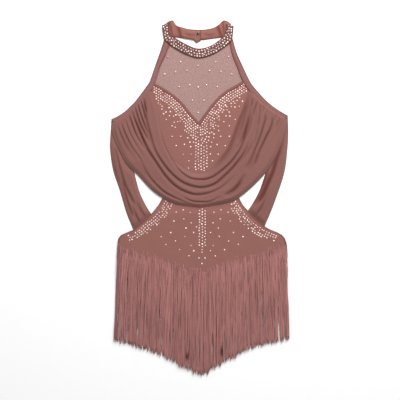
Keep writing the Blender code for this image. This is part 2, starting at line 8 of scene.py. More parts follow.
import bmesh
import bpy
import numpy as np
from bpy.props import FloatProperty, FloatVectorProperty, IntProperty, PointerProperty
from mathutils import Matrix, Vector

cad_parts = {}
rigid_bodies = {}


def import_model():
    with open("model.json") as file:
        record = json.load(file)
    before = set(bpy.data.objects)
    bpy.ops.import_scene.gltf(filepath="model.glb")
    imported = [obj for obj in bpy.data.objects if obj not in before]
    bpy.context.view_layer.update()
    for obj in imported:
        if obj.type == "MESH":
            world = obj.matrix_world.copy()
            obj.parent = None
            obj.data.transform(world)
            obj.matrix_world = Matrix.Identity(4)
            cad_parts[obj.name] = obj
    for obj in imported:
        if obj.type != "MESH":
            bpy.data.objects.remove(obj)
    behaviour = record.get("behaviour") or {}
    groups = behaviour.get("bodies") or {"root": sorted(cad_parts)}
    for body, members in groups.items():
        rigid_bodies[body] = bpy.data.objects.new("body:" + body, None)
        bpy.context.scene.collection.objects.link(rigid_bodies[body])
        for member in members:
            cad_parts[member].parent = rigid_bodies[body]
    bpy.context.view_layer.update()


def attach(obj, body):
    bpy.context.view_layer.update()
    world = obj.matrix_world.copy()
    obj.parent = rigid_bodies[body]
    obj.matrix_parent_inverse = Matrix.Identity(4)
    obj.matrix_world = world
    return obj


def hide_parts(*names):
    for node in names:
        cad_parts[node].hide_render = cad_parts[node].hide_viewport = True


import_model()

bl_info = {
    "name": "Latin dance leotard",
    "version": (1, 0, 0),
    "blender": (4, 5, 0),
    "location": "3D View > Sidebar > Leotard",
    "description": "Builds the cloth, fringe, stones and stage of a laid-out dance leotard",
    "category": "Object",
}

MM = 0.001
FRINGE_SEED = 7
STONE_SEED = 8

# Underside of each stacked layer, as in the solids
BACK_LAYER = 0.0
HIP_BACK_LAYER = 1.5
HIP_FRONT_LAYER = 3.0
SWAG_LAYER = 1.7
FRONT_COLLAR_LAYER = 1.5
LAP_LAYER = 1.5

# Walls of the cloths
COLLAR_WALL = 1.1
STRAP_WALL = 0.9
JERSEY_WALL = 0.8
NET_WALL = 0.4

# Height of each cloth's upper face over its layer, at its edges, and the swell between them
COLLAR_TOP, COLLAR_CROWN = 2.1, 1.1
BACK_BAND_TOP, BACK_BAND_CROWN = 1.0, 1.3
STRAP_TOP, STRAP_CROWN = 2.1, 0.4
BINDING_TOP, BINDING_CROWN = 2.3, 0.5
YOKE_TOP = 0.8
BODICE_TOP, BUST_HEIGHT = 1.4, 1.1
SWAG_TOP = 0.9
BRIEF_TOP, BRIEF_BACK_TOP = 1.2, 1.1
# How far the swag's upper face clears the bodice, and the straps' armhole end its gathered edge
SWAG_CLEARANCE = 1.1
STRAP_CLIMB = 1.3
# Shares of a strap's length between which it climbs onto that edge
STRAP_CLIMB_SHARES = (0.26, 0.36)
# Middles of the bust's two rounds in x, their height in y, and their reach across and down
BUST_SIDES = (-58, 54)
BUST_Y = 190
BUST_REACH = (38, 46)

# Collar seams, left to right
COLLAR_LOWER = [(-84, 383), (-82, 369.5), (-78.5, 353), (-66.5, 340), (-52, 330), (-30, 318.5),
                (-0.5, 311), (34, 322), (65, 344), (71.5, 356.5), (74, 382)]
COLLAR_UPPER = [(-66.5, 389.5), (-68, 376.5), (-64.5, 362), (-53.5, 355), (-26.5, 340),
                (-2.5, 332.5), (25, 339.5), (50.5, 358.5), (56, 371), (57, 386)]
BACK_LEFT_UPPER = [(-80.5, 384), (-70.5, 391.5), (-60, 394.5), (-52, 384), (-41, 379.5),
                   (-22.5, 375), (2, 373.5)]
BACK_LEFT_LOWER = [(-79.5, 359.5), (-48, 356.5), (-19, 352), (-12.5, 349.5), (-8, 345),
                   (-2, 348), (2, 350)]
BACK_RIGHT_UPPER = [(-14, 373.5), (14, 375), (32, 379.5), (42, 386), (52, 394.5), (62.5, 391.5),
                    (71, 384)]
BACK_RIGHT_LOWER = [(-14, 352), (4.5, 351), (19.5, 353), (53, 357.5), (70, 359.5)]
# Where the front collar climbs onto its back bands, in y, and the left back band onto the right
# one, in x
COLLAR_RAMP_Y = (336, 350)
LAP_RAMP_X = (-52, -32)
# Middle of the closure, and its height over the lap's layer
SNAP_CENTRE = (-4.4, 363.5)
SNAP_LIFT = 2.8
# Ring and stud of the closure: radii, how far each is drawn out along y, and the stud flattened
RING_RADIUS, RING_WIRE, RING_STRETCH = 3.5, 0.85, 1.36
STUD_RADIUS, STUD_STRETCH, STUD_FLATTENING = 2.5, 1.5, 0.2

# Sweetheart neckline: one run to each side of its point
NECKLINE_LEFT = [(-99.5, 256), (-81, 245.5), (-66.5, 236.5), (-52, 225.5), (-37, 211),
                 (-22.5, 192.5), (-3, 170.5)]
NECKLINE_RIGHT = [(-3, 170.5), (19.5, 201.5), (32, 216.5), (46.5, 231), (61, 242), (76, 250.5),
                  (94.5, 261)]
BINDING_WIDTH = 6.0
# How far one piece reaches under the next at a seam
TUCK = 1.5
# Ends of the binding and upper corners of the bodice, tucked under the straps
BINDING_TUCKS = ((-104, 258.4), (99.5, 263.4))
BODICE_TUCKS = ((-106, 256.5), (102.5, 260.5))

# Strap edges from the collar down to the shoulder corner
STRAP_LEFT_OUTER = [(-78, 356), (-88, 324.5), (-96, 302.5), (-109.5, 263), (-119, 247.5),
                    (-141.5, 217.5), (-153, 205.5), (-164, 195), (-179, 184.5), (-195.5, 176.5)]
STRAP_LEFT_INNER = [(-66.4, 342), (-76, 317), (-86, 296), (-99.5, 258.5), (-108, 241),
                    (-134.5, 213), (-158, 190.5), (-176, 178.5), (-192.5, 171)]
STRAP_RIGHT_OUTER = [(71, 357.5), (80.5, 324.5), (90, 302.5), (108.5, 263), (119, 247.5),
                     (146, 217.5), (170, 198.5), (194, 184.5)]
STRAP_RIGHT_INNER = [(65, 345), (70.5, 320), (79, 298), (96.5, 259.5), (109, 241),
                     (137.5, 211.5), (166, 191), (191, 178)]
# Where the yoke's corners lie, as shares of the collar's seam and of the left and right strap's
YOKE_COLLAR_SHARES = (0.2, 0.823)
YOKE_STRAP_SHARES = (0.44, 0.432)

# Front swag: inner edge and hem, one run to each side of the centre front
SWAG_INNER_LEFT = [(-108.5, 242.5), (-99, 215), (-92, 190), (-84.5, 148.5), (-69.5, 106.5),
                   (-53, 83), (-24, 62.5), (0, 57)]
SWAG_INNER_RIGHT = [(0, 57), (20, 64), (44, 91.5), (61, 115.5), (71, 140.5), (83.5, 175.5),
                    (94.5, 202), (109, 242.5)]
SWAG_HEM_LEFT = [(-193.5, 172.5), (-193, 146), (-175.5, 104.5), (-161.5, 78.5), (-137.5, 54),
                 (-100, 15), (-55, -9), (0, -17)]
SWAG_HEM_RIGHT = [(0, -17), (57, -7.5), (90, 7), (133, 46), (159.5, 80.5), (178, 120),
                  (190.5, 161.5), (191.5, 179.5)]
SWAG_ARMHOLE_LEFT = [(-108.5, 242.5), (-121.5, 228.5), (-135.5, 214.5), (-159, 192),
                     (-177, 180), (-193.5, 172.5)]
SWAG_ARMHOLE_RIGHT = [(109, 242.5), (123, 228.5), (138.5, 213), (167, 192.5), (191.5, 179.5)]

# Stations along the front swag, from the left armhole to the right one
SWAG_STATIONS = (0.0, 0.14, 0.28, 0.40, 0.5, 0.60, 0.72, 0.86, 1.0)
# Creases of the front swag. A row per crease: its depths from its start to its end, its half width,
# and its course from the left armhole's side to the right's.
SWAG_CREASES = (
    # beside the smooth strip and under the bodice's point
    ((1.2, 2.2, 2.9, 3.0, 2.0, 2.4, 3.0, 3.4, 3.4, 2.8, 1.6, 0.6), 1.8,
     [(-87, 173), (-80, 128), (-66, 98), (-50, 70), (-26, 48.5), (0, 43.5), (24, 47.5),
      (48, 64), (70, 85), (88, 112), (98, 140), (104, 168)]),
    ((2.2, 3.0, 2.6, 2.4, 2.8, 3.4, 3.6, 3.6, 3.6, 3.8, 3.8, 3.4, 2.2, 0.8), 2.0,
     [(-121, 236), (-118, 179), (-109, 142), (-99, 109), (-82.5, 81.5), (-61.5, 56),
      (-35, 36), (0, 26.5), (30, 33), (50, 48.5), (70, 68.5), (92, 95.5), (104, 118), (113, 146)]),
    # the deepest, from the armhole to the right of the centre
    ((1.0, 2.2, 3.0, 3.8, 3.8, 3.8, 3.8, 3.8, 3.2, 2.2, 1.6, 0.6), 2.1,
     [(-147, 197), (-139, 170), (-121, 122), (-97, 82.5), (-72.5, 47.5), (-48, 25.5),
      (-20, 13), (0, 10.8), (24, 15.5), (46, 26), (64, 41), (82, 60)]),
    ((0.6, 1.0, 1.6, 3.0, 3.0, 1.8, 0.6), 1.9,
     [(-139, 104), (-114, 54), (-84, 21), (-59, 5.5), (-35, -5), (-14, -11)]),
    ((0.6, 2.2, 2.4, 1.8, 0.8), 1.7, [(-40, 6), (-20, -3), (0, -5.5), (24, -4), (48, 9)]),
    ((0.8, 3.2, 4.2, 3.8, 2.0, 0.6), 3.1,
     [(52, 7), (65, 15), (75, 22.5), (83.5, 32), (90, 43), (100, 58)]),
    # from the right armhole down to the round of the swag
    ((0.3, 1.6, 2.4, 2.9, 3.2, 3.2, 2.8, 1.2), 1.6,
     [(96, 64), (108, 83), (118, 104), (125.5, 122.5), (131.5, 139), (137, 156.5), (142, 174.5),
      (143, 194)]),
    ((0.4, 1.5, 1.8, 0.6), 1.1, [(166, 157), (169, 164), (172, 171), (174, 179)]),
    ((0.8, 1.8, 2.6, 3.2, 3.5, 3.5, 3.2, 2.6, 0.9), 1.7,
     [(118, 71), (122, 84.5), (126, 96.5), (131, 109), (138, 123.5), (145.5, 139.5), (152.5, 153),
      (157.5, 167.5), (158.5, 186)]),
    ((0.3, 0.7, 0.8, 0.3), 1.4, [(160, 128), (169, 148), (176, 164), (180, 178)]),
    ((0.5, 1.4, 1.8, 1.4, 0.5), 1.5, [(78, 104), (90, 130), (97, 149), (103, 169), (106, 186)]),
    ((0.5, 1.0, 1.2, 1.0, 0.4), 1.7, [(80, 125), (86, 144), (92, 166), (97, 188), (99, 208)]),
    ((0.4, 1.4, 1.8, 1.4, 0.5), 1.5, [(112, 96), (120, 122), (123, 140), (128, 168), (131, 186)]),
    ((0.4, 1.4, 1.6, 0.6), 1.4, [(84, 76), (97, 92), (109, 112), (117, 132)]),
    ((0.3, 0.9, 1.1, 0.8, 0.3), 1.1, [(94, 128), (101, 150), (106, 170), (109, 190), (110, 208)]),
    ((0.3, 0.8, 1.0, 0.4), 1.1, [(100, 132), (108, 156), (113, 180), (116, 200)]),
    ((0.3, 0.9, 0.9, 0.3), 1.1, [(110, 128), (118, 152), (122, 174), (124, 194)]),
    ((0.3, 0.7, 0.8, 0.3), 1.0, [(89, 150), (95, 172), (101, 196), (105, 216)]),
    # gathers of the right armhole
    ((1.0, 2.6, 1.2), 1.2, [(111.5, 201), (113.5, 211), (114, 222)]),
    ((0.6, 2.0, 2.4, 1.0), 1.3, [(117, 181), (118.5, 193), (122, 205.5), (125, 217)]),
    ((0.5, 1.6, 1.8, 0.8), 1.4, [(125, 160), (129, 178), (131, 195), (132, 210)]),
    ((0.4, 1.4, 0.8), 1.2, [(137, 190), (139, 199), (139.5, 208)]),
    ((0.4, 1.2, 0.8), 1.2, [(163, 172), (166, 180), (167, 188)]),
    # gathers of the left armhole, outermost first
    ((0.6, 1.3, 1.0, 0.3), 1.3, [(-188.5, 156), (-185, 140), (-180.5, 127), (-175, 115)]),
    ((1.0, 1.8, 1.8, 1.2, 0.4), 1.3,
     [(-181, 164), (-176, 148), (-170, 134), (-163, 118), (-153, 102)]),
    ((1.1, 2.2, 2.2, 1.6, 1.2, 0.4), 1.4,
     [(-174, 171), (-167, 151), (-160, 135.5), (-151.5, 118), (-141, 102.5), (-129, 85)]),
    ((0.9, 1.7, 1.8, 1.3, 0.9, 0.3), 1.2,
     [(-164.5, 178), (-158.5, 159), (-152.5, 143.5), (-144.5, 128), (-135, 112), (-121, 91)]),
    ((1.4, 2.8, 3.0, 2.4, 1.6, 0.5), 1.4,
     [(-157, 188), (-150, 168.5), (-145, 154.5), (-139, 140), (-130.5, 124.5), (-120, 109)]),
    ((1.2, 2.4, 2.6, 2.0, 1.4, 0.4), 1.2,
     [(-150.5, 198), (-145, 181), (-140, 167), (-133.5, 153), (-126, 137), (-114, 114)]),
    ((1.4, 2.8, 3.2, 3.0, 2.0, 0.6), 1.5,
     [(-144, 206), (-139, 189), (-134.5, 175), (-129, 161), (-122, 146.5), (-113, 129)]),
    ((1.4, 2.8, 3.0, 2.4, 1.4, 0.4), 1.3,
     [(-138, 213), (-133.5, 197), (-129, 183), (-124, 170), (-119, 156), (-111.5, 142)]),
    ((1.4, 3.0, 2.8, 1.2), 1.3, [(-131, 220), (-126, 203), (-122.5, 189), (-119, 175)]),
    ((1.2, 2.4, 1.0), 1.1, [(-125, 226), (-121, 206), (-117, 191)]),
    # wide soft hollows
    ((0.2, 1.6, 0.3), 6.5, [(-130, 182), (-120, 152), (-108, 120)]),
    ((0.2, 1.4, 0.3), 6.0, [(-176, 156), (-160, 118), (-140, 84)]),
    ((0.2, 1.2, 0.2), 6.0, [(-140, 84), (-118, 54), (-96, 32)]),
    ((0.2, 1.6, 0.3), 6.0, [(98, 60), (114, 82), (124, 104)]),
    ((0.2, 1.7, 1.8, 0.3), 7.0, [(113, 208), (108, 176), (100, 146), (86, 118)]),
)

# How strongly the painted shade of a crease shows at each station
SWAG_CREASE_SHADES = (1.2, 1.0, 0.66, 0.42, 0.4, 0.7, 1.25, 1.3, 1.2)
# Height of the front swag over its underlay along it, before its creases
SWAG_HEIGHTS = (2.6, 4.6, 5.4, 5.8, 6.0, 5.8, 5.4, 4.6, 2.6)

# Back swag, from the shoulder corner round to the centre back
BACK_OUTER_LEFT = [(-195, 174), (-198, 131), (-198, 109), (-191.5, 65), (-177, 21), (-156, -45),
                   (-125.5, -95.5), (-48.5, -132), (-0.2, -135.5)]
BACK_INNER_LEFT = [(-137, 211), (-141, 175), (-147.5, 87), (-139.5, 38.5), (-125.5, -1),
                   (-97, -43), (-39.5, -81.5), (-0.2, -87)]
BACK_OUTER_RIGHT = [(193.5, 182), (194.5, 145), (192.5, 109), (187, 65), (174, 21), (148.5, -45),
                    (120, -95.5), (48.5, -132), (0.2, -135.5)]
BACK_INNER_RIGHT = [(139, 211), (143, 175), (148.5, 87), (137.5, 37.5), (120.5, -1),
                    (90, -43), (39.5, -81.5), (0.2, -87)]
BACK_ARMHOLE_LEFT = [(-195, 174), (-178, 181.5), (-160, 193.5), (-137, 211)]
BACK_ARMHOLE_RIGHT = [(193.5, 182), (168, 194), (139, 211)]
# Creases of the back swag, as the front's rows but from the armhole down
BACK_CREASES_LEFT = (
    ((1.2, 2.4, 2.6, 2.8, 3.0, 1.8), 2.2,
     [(-189, 122), (-181.5, 96), (-176, 69), (-166, 36), (-152, 5), (-142, -14)]),
    ((0.8, 2.4, 2.8, 2.0), 2.0, [(-170, 42), (-166, 20), (-158, -9), (-146, -40)]),
    ((0.8, 2.2, 2.2), 1.9, [(-150, -14), (-142, -32), (-132, -52)]),
    ((0.6, 1.4, 0.8), 3.4, [(-192, 90), (-186, 62), (-176, 34)]),
    ((0.8, 1.8, 1.4), 2.2, [(-138, -6), (-130, -24), (-120, -40)]),
)
BACK_CREASES_RIGHT = (
    ((0.8, 2.4, 3.6, 4.2, 4.2, 4.2, 3.8, 2.6), 3.4,
     [(184, 150), (182, 134), (176, 107), (168, 84), (160, 58), (150, 33), (139, 8), (124, -14)]),
    ((0.6, 1.6, 1.8, 1.2), 6.5, [(152, 62), (142, 36), (132, 12), (116, -16)]),
    ((1.0, 2.6, 2.6, 1.4), 2.0, [(150, 14), (142, -4), (132, -24), (118, -42)]),
    ((0.8, 2.0, 2.2, 1.0), 1.6, [(157, 84), (148, 58), (139, 36), (124, 6)]),
    ((0.4, 1.0, 0.4), 4.0, [(180, 90), (172, 60), (160, 26)]),
)
# Height of the back swag over its layer, and how gently it rises from under the front's edges
BACK_HEIGHT = 4.0
BACK_FADE = 12.0
# Depth at which a crease shows its full painted shade: of the swags, and of the collar's back bands
CREASE_FULL = 4.2
COLLAR_FOLD_FULL = 1.2

# Bodice side edges from the underarm to the waist, hidden by the swag
BODICE_SIDE_LEFT = [(-103, 249), (-113, 215), (-118, 160), (-104, 95), (-83, 26)]
BODICE_SIDE_RIGHT = [(98.5, 252.5), (113, 215), (118, 160), (104, 95), (83, 26)]

# Brief outline. A row per level: y, left edge, right edge.
BRIEF_ROWS = (
    (25.5, -81.5, 81.5), (3.5, -82.5, 86), (-12, -91.5, 94.5), (-23, -100, 104),
    (-31, -106.5, 110), (-38.5, -114.5, 117.5), (-48.5, -124, 128.5), (-57, -134.5, 138.5),
    (-66, -145, 154), (-72, -159.5, 169.5), (-78, -173.5, 180.5), (-86, -180, 187),
    (-102.5, -182, 191.5), (-137.5, -182.5, 191.5), (-166, -167, 176), (-199, -136.5, 145),
    (-232, -103.5, 112), (-265, -66, 75), (-287, -44, 53), (-300.5, -35, 39.5),
)
# Top seam of the back of the brief, under the front
BRIEF_BACK_SEAM = [(-180, -86.5), (-120, -104), (4, -118), (130, -104), (187, -86.5)]
# Where the front of the brief climbs from the surface onto the layers behind it, in y
BRIEF_RAMP_Y = (-8, -36)
# Below this level the brief narrows to its leg line
HIP_LEVEL = -137

# Fringe: seam from which it hangs, hem, and x of its two ends at the seam and at the hem
FRINGE_LINE = [(-180, -101), (-77, -134), (5.5, -157), (82, -129), (190, -101)]
FRINGE_HEM = ((-192, -311), (-86, -343), (-51, -364), (2.6, -392), (53, -361), (111.5, -328),
              (198, -308))
FRINGE_SPREAD = ((-180, -190), (190, 197))
# How far the strands' tops lie below their level, and how far up under the brief they reach
HEADER_DROP = 2.6
HEADER_DEPTH = 9.0
# Places where the strands part. A row per parting: x at the hem, half width, its upper and lower
# end, and whether the layers underneath part there too.
FRINGE_PARTINGS = (
    (186.5, 2.6, -140, -330, False), (174.5, 2.0, -222, -330, True),
    (-171, 1.3, -272, -330, True), (-161, 1.0, -285, -330, True), (-180, 1.2, -262, -330, True),
    (-183, 1.6, -110, -330, False), (47.5, 1.6, -165, -262, False),
    (-13, 1.7, -228, -330, False), (-34, 1.4, -200, -318, False), (29, 1.2, -300, -350, False),
    (-50, 1.0, -150, -232, False), (8, 1.1, -170, -240, False), (-92, 1.2, -185, -262, False),
    (93, 1.3, -232, -292, False), (118, 1.4, -150, -232, False), (139, 1.1, -196, -280, False),
    (-118, 1.4, -240, -300, False), (-139, 1.2, -280, -330, True), (-140, 1.1, -150, -214, False),
    (74, 1.1, -190, -270, False), (-68, 1.1, -268, -330, False), (158, 1.2, -110, -190, False),
    (-164, 1.0, -150, -230, False), (105, 1.0, -285, -335, True), (-22, 1.0, -330, -375, False),
)
# Small dark spots near the hem: x, y, half width and half height
FRINGE_DARK_SPOTS = ((-28, -345, 4.5, 8), (48, -335, 2.8, 11))
# Layers of strands. A row per layer: locks, strands in a lock, height at the brief and past its
# leg line, share of the full thickness, whether each parting opens it, how much shorter it hangs,
# and the solid that it stands for.
FRINGE_LAYERS = {
    "front_fringe": (84, 4, 5.5, 2.7, 1.0, True, 0, "fringe_front"),
    "front_fringe_under": (74, 3, 5.0, 2.0, 0.95, False, 2, "fringe_front"),
    "back_fringe": (68, 4, 0.75, 0.75, 0.72, False, 5, "fringe_back"),
}
STRAND_SIDES = 4
# Sways of a strand: size, and radians of its wave over the strand's length
STRAND_SWAYS = ((0.8, 4.4), (0.55, 9.2), (0.3, 16.0))

# Stones: radii with the share of each, and the radii of the yoke's and the collar's filling ones
STONE_RADII = (1.5, 1.75, 2.0)
STONE_SHARES = (0.35, 0.4, 0.25)
YOKE_STONE_RADIUS = 1.9
COLLAR_FILL_RADIUS = 1.25
# How far a stone sinks into the collar, and the height of the yoke's stones
STONE_SINK = 0.05
YOKE_STONE_LEVEL = 1.25
# Rows of stones along an edge, and their pitch. A row is its distance to the right of the edge's
# travel and the share of its places that hold a stone.
COLLAR_ROWS = ((-4.3, 1), (-10.0, 1), (-15.7, 0.95), (-19.5, 0.4))
COLLAR_PITCH = 6.3
NECK_ROWS = ((7.9, 1), (13.0, 1), (18.1, 1), (23.2, 0.85), (28.6, 0.55), (34.2, 0.32),
             (40.5, 0.2), (47, 0.12))
NECK_PITCH = 5.6
HIP_ROWS = ((8.0, 0.97), (13.3, 0.97), (18.6, 0.9), (23.9, 0.45))
HIP_PITCH = 5.7
# Centre columns of stones: x, top and bottom, pitch across and down, and the half width with the
# levels between which it is more than one stone wide
BODICE_COLUMN = (2.5, (158, 60), (6.1, 6.6), 14, (0, 147))
BRIEF_COLUMN = (5.0, (-22, -118), (6.2, 6.3), 7, (-106, 0))
# Least distance between stones: in the rows, of the filling ones, and of the mirrored singles
COLLAR_APART, COLLAR_FILL_APART = 4.6, 3.9
BODICE_APART, BODICE_FILL_APART, BODICE_SINGLES_APART = 4.5, 4.9, 5.5
BRIEF_APART, BRIEF_SINGLES_APART = 4.2, 6.0
# Least distance from the neckline of the bodice's rows, filling stones and singles, and from the
# swag's inner edge and the collar's edges
NECK_CLEAR, NECK_FILL_CLEAR, NECK_SINGLES_CLEAR = 6.5, 7.5, 12
SWAG_CLEAR, COLLAR_CLEAR = 4, 3.2
# Areas filled with stones between the rows: lowest and highest corner
COLLAR_FILL_BOX = (-86, 314, 86, 392)
BODICE_FILL_BOX = (-36, 60, 40, 168)
# Centre lines of the mirrored single stones
YOKE_MIRROR, BODICE_MIRROR, BRIEF_MIRROR = -4.0, 1.5, 4.5
# Singles, mirrored at the centre line: offset from it and y
YOKE_SINGLES = ((67, 315), (38.5, 303.5), (0, 294.5), (25, 284), (50, 281.5), (74, 276.5),
                (18.5, 252.5), (42, 248.5), (0, 247.5), (13, 218.5), (0, 191.5))
BRIEF_SINGLES = ((41.5, -23), (26, -28.5), (57, -28), (40, -43), (62, -47.5), (24, -51.5),
                 (12, -60.5), (35.5, -63), (18.5, -73), (69, -73), (38, -81.5), (90, -82),
                 (58.5, -91.5), (79.5, -99), (24.5, -101.5), (49.5, -110.5), (18.5, -113),
                 (29, -124), (6.7, -129), (0, -117.5), (0, -141))
BODICE_SINGLES = ((27, 154), (36, 153), (27.5, 145), (44, 139), (28.5, 135.5), (63, 139),
                  (24, 126), (36, 121), (54, 118.5), (22, 116), (21, 100), (38.5, 99.5),
                  (26, 85), (27, 69), (41, 170), (51, 171), (63, 162), (57, 183), (69, 184),
                  (67, 193), (48, 192), (73, 203), (85, 205), (33, 163), (40, 183), (92, 216),
                  (80, 218), (76, 176))
# Lines along which the brief's waist stones run, in from the brief's curved edges
HIP_EDGE_LEFT = [(-163, -73), (-157, -71), (-145, -66), (-124, -48.5), (-106, -34), (-92, -17),
                 (-82, 2)]
HIP_EDGE_RIGHT = [(84, 2), (96, -17), (110, -34), (128.5, -51), (154, -66), (167, -71),
                  (173, -74)]
# Folds of the collar's back bands, as the swag's creases
BACK_FOLDS_LEFT = (
    ((1.0, 1.2, 1.0), 2.6, [(-50, 386), (-45, 370), (-41, 354)]),
    ((0.5, 1.0, 0.5), 2.0, [(-66, 394), (-64, 375), (-60, 356)]),
    ((0.3, 0.7, 0.3), 2.0, [(-36, 366), (-22, 362), (-10, 362)]),
)
BACK_FOLDS_RIGHT = (
    ((1.0, 1.3, 1.0), 2.6, [(38, 386), (43, 372), (48, 356)]),
    ((0.6, 1.2, 0.6), 2.0, [(50, 396), (52, 376), (54, 356)]),
    ((0.3, 0.7, 0.3), 2.0, [(8, 364), (22, 362), (34, 366)]),
)
# Stitch: length, radius, and how far its ends sink into the cloth
STITCH_LENGTH, STITCH_RADIUS, STITCH_SINK = 2.4, 0.22, 0.12

# Overhead camera: lens and sensor in mm, its shift in y and its rise over the fitted height in m
CAMERA_LENS, CAMERA_SENSOR = 85.0, 36.0
CAMERA_SHIFT, CAMERA_RISE = -0.0011, 0.004
# Softbox beyond the collar on the right, in metres
SOFTBOX_PLACE = (0.45, 1.6, 1.25)
SOFTBOX_SIZE = (1.1, 1.1)
FLOOR_SIZE, FLOOR_LEVEL = 8.0, -0.0002


# Curves and patches

def along(*runs):
    """Smooth curve through given points as a function of 0..1. Runs meet at a sharp corner
    and share 0..1 evenly; in each, the share goes by length."""
    tables = []
    for run in runs:
        points = np.array(run, float)
        ends = np.vstack([2 * points[0] - points[1], points, 2 * points[-1] - points[-2]])
        steps = np.linspace(0, 1, 24, endpoint=False)[:, None]
        pieces = []
        for a, b, c, d in zip(ends, ends[1:], ends[2:], ends[3:]):
            cubic = (2 * b + (c - a) * steps + (2 * a - 5 * b + 4 * c - d) * steps ** 2
                     + (3 * b - a - 3 * c + d) * steps ** 3)
            pieces.append(0.5 * cubic)
        fine = np.vstack(pieces + [points[-1:]])
        length = np.concatenate([[0], np.cumsum(np.linalg.norm(np.diff(fine, axis=0), axis=1))])
        tables.append((length / length[-1], fine))

    def curve(share):
        share = np.asarray(share, float)
        scaled = share * len(tables)
        which = np.clip(scaled.astype(int), 0, len(tables) - 1)
        point = np.zeros(share.shape + (2,))
        for index, (length, fine) in enumerate(tables):
            here = which == index
            for axis in (0, 1):
                point[here, axis] = np.interp(scaled[here] - index, length, fine[:, axis])
        return point

    return curve


def straight(start, end):
    """Straight seam as a function of 0..1."""
    return lambda share: np.asarray(start) + np.subtract(end, start) * np.asarray(share)[..., None]


def part_of(curve, first, last):
    """The stretch of a curve between two of its shares."""
    return lambda share: curve(first + (last - first) * np.asarray(share))


def moved_aside(curve, distance, samples=200):
    """A curve moved to the right of its travel by a distance, mitred at its corners."""
    shares = np.linspace(0, 1, samples + 1)
    points = curve(shares)
    run = np.gradient(points, axis=0)
    run /= np.linalg.norm(run, axis=1)[:, None]
    before = np.vstack([run[:1], run[:-1]])
    miter = 1 / np.clip(np.sqrt((1 + np.sum(before * run, axis=1)) / 2), 0.6, 1)
    side = np.column_stack([run[:, 1], -run[:, 0]]) * (distance * miter)[:, None]
    shifted = points + side

    def aside(share):
        return np.stack([np.interp(share, shares, shifted[:, axis]) for axis in (0, 1)], axis=-1)

    return aside


def capped(curve, left, right, end):
    """A seam whose two ends are drawn onto the ends of the seams that it meets."""
    start_shift = left(np.array(float(end))) - curve(np.array(0.0))
    end_shift = right(np.array(float(end))) - curve(np.array(1.0))

    def joined(share):
        share = np.asarray(share, float)[..., None]
        near_start = np.clip(1 - share / 0.1, 0, 1)
        near_end = np.clip((share - 0.9) / 0.1, 0, 1)
        return curve(share[..., 0]) + near_start * start_shift + near_end * end_shift

    return joined


def patch(u, v, top, bottom, left, right):
    """Points of the patch between four seams, u from left to right and v from top to bottom."""
    u1, v1 = u[..., None], v[..., None]
    corners = ((1 - u1) * (1 - v1) * top(np.array(0.0)) + u1 * (1 - v1) * top(np.array(1.0))
               + (1 - u1) * v1 * bottom(np.array(0.0)) + u1 * v1 * bottom(np.array(1.0)))
    return (1 - v1) * top(u) + v1 * bottom(u) + (1 - u1) * left(v) + u1 * right(v) - corners


def lipped(count, length, lip=0.8):
    """Shares of 0..1 whose first and last step are one narrow lip, for a rounded cloth edge."""
    edge = lip / length
    return np.concatenate([[0], np.linspace(edge, 1 - edge, count), [1]])


def grid(columns, rows, wide, long):
    """Shares across and down a piece that is so many mm wide and long, a lip at each edge."""
    return np.meshgrid(lipped(columns, wide), lipped(rows, long))


def rise(value, low, high):
    """0 up to low, 1 from high on, and a smooth step between them."""
    t = np.clip((np.asarray(value, float) - low) / (high - low), 0, 1)
    return t * t * (3 - 2 * t)


def through(stations, values, u):
    """Smooth value through its stations."""
    stations, values = np.asarray(stations, float), np.asarray(values, float)
    slope = np.gradient(values, stations)
    i = np.clip(np.searchsorted(stations, u) - 1, 0, len(stations) - 2)
    width = stations[i + 1] - stations[i]
    t = (u - stations[i]) / width
    return ((2 * t ** 3 - 3 * t ** 2 + 1) * values[i] + (t ** 3 - 2 * t ** 2 + t) * width * slope[i]
            + (3 * t ** 2 - 2 * t ** 3) * values[i + 1] + (t ** 3 - t ** 2) * width * slope[i + 1])


def outside_by(xy, outline):
    """Distance of each point to a closed outline, and 0 inside it."""
    x, y = xy[..., 0], xy[..., 1]
    inside = np.zeros(x.shape, bool)
    nearest = np.full(x.shape, np.inf)
    for (ax, ay), (bx, by) in zip(outline, np.roll(outline, -1, axis=0)):
        if ay != by:
            crossing = ax + (y - ay) * (bx - ax) / (by - ay)
            inside ^= ((ay > y) != (by > y)) & (x < crossing)
        span = max((bx - ax) ** 2 + (by - ay) ** 2, 1e-9)
        t = np.clip(((x - ax) * (bx - ax) + (y - ay) * (by - ay)) / span, 0, 1)
        nearest = np.minimum(nearest, np.hypot(x - ax - t * (bx - ax), y - ay - t * (by - ay)))
    return np.where(inside, 0.0, nearest)


# Cross-section of a crease, in its half widths: how much wider its easy side is, and the place,
# breadth and height of the swell along its steep side, the last as a share of its depth
LEE = 1.9
SWELL_PLACE, SWELL_BREADTH, SWELL_SHARE = 2.6, 1.5, 0.22


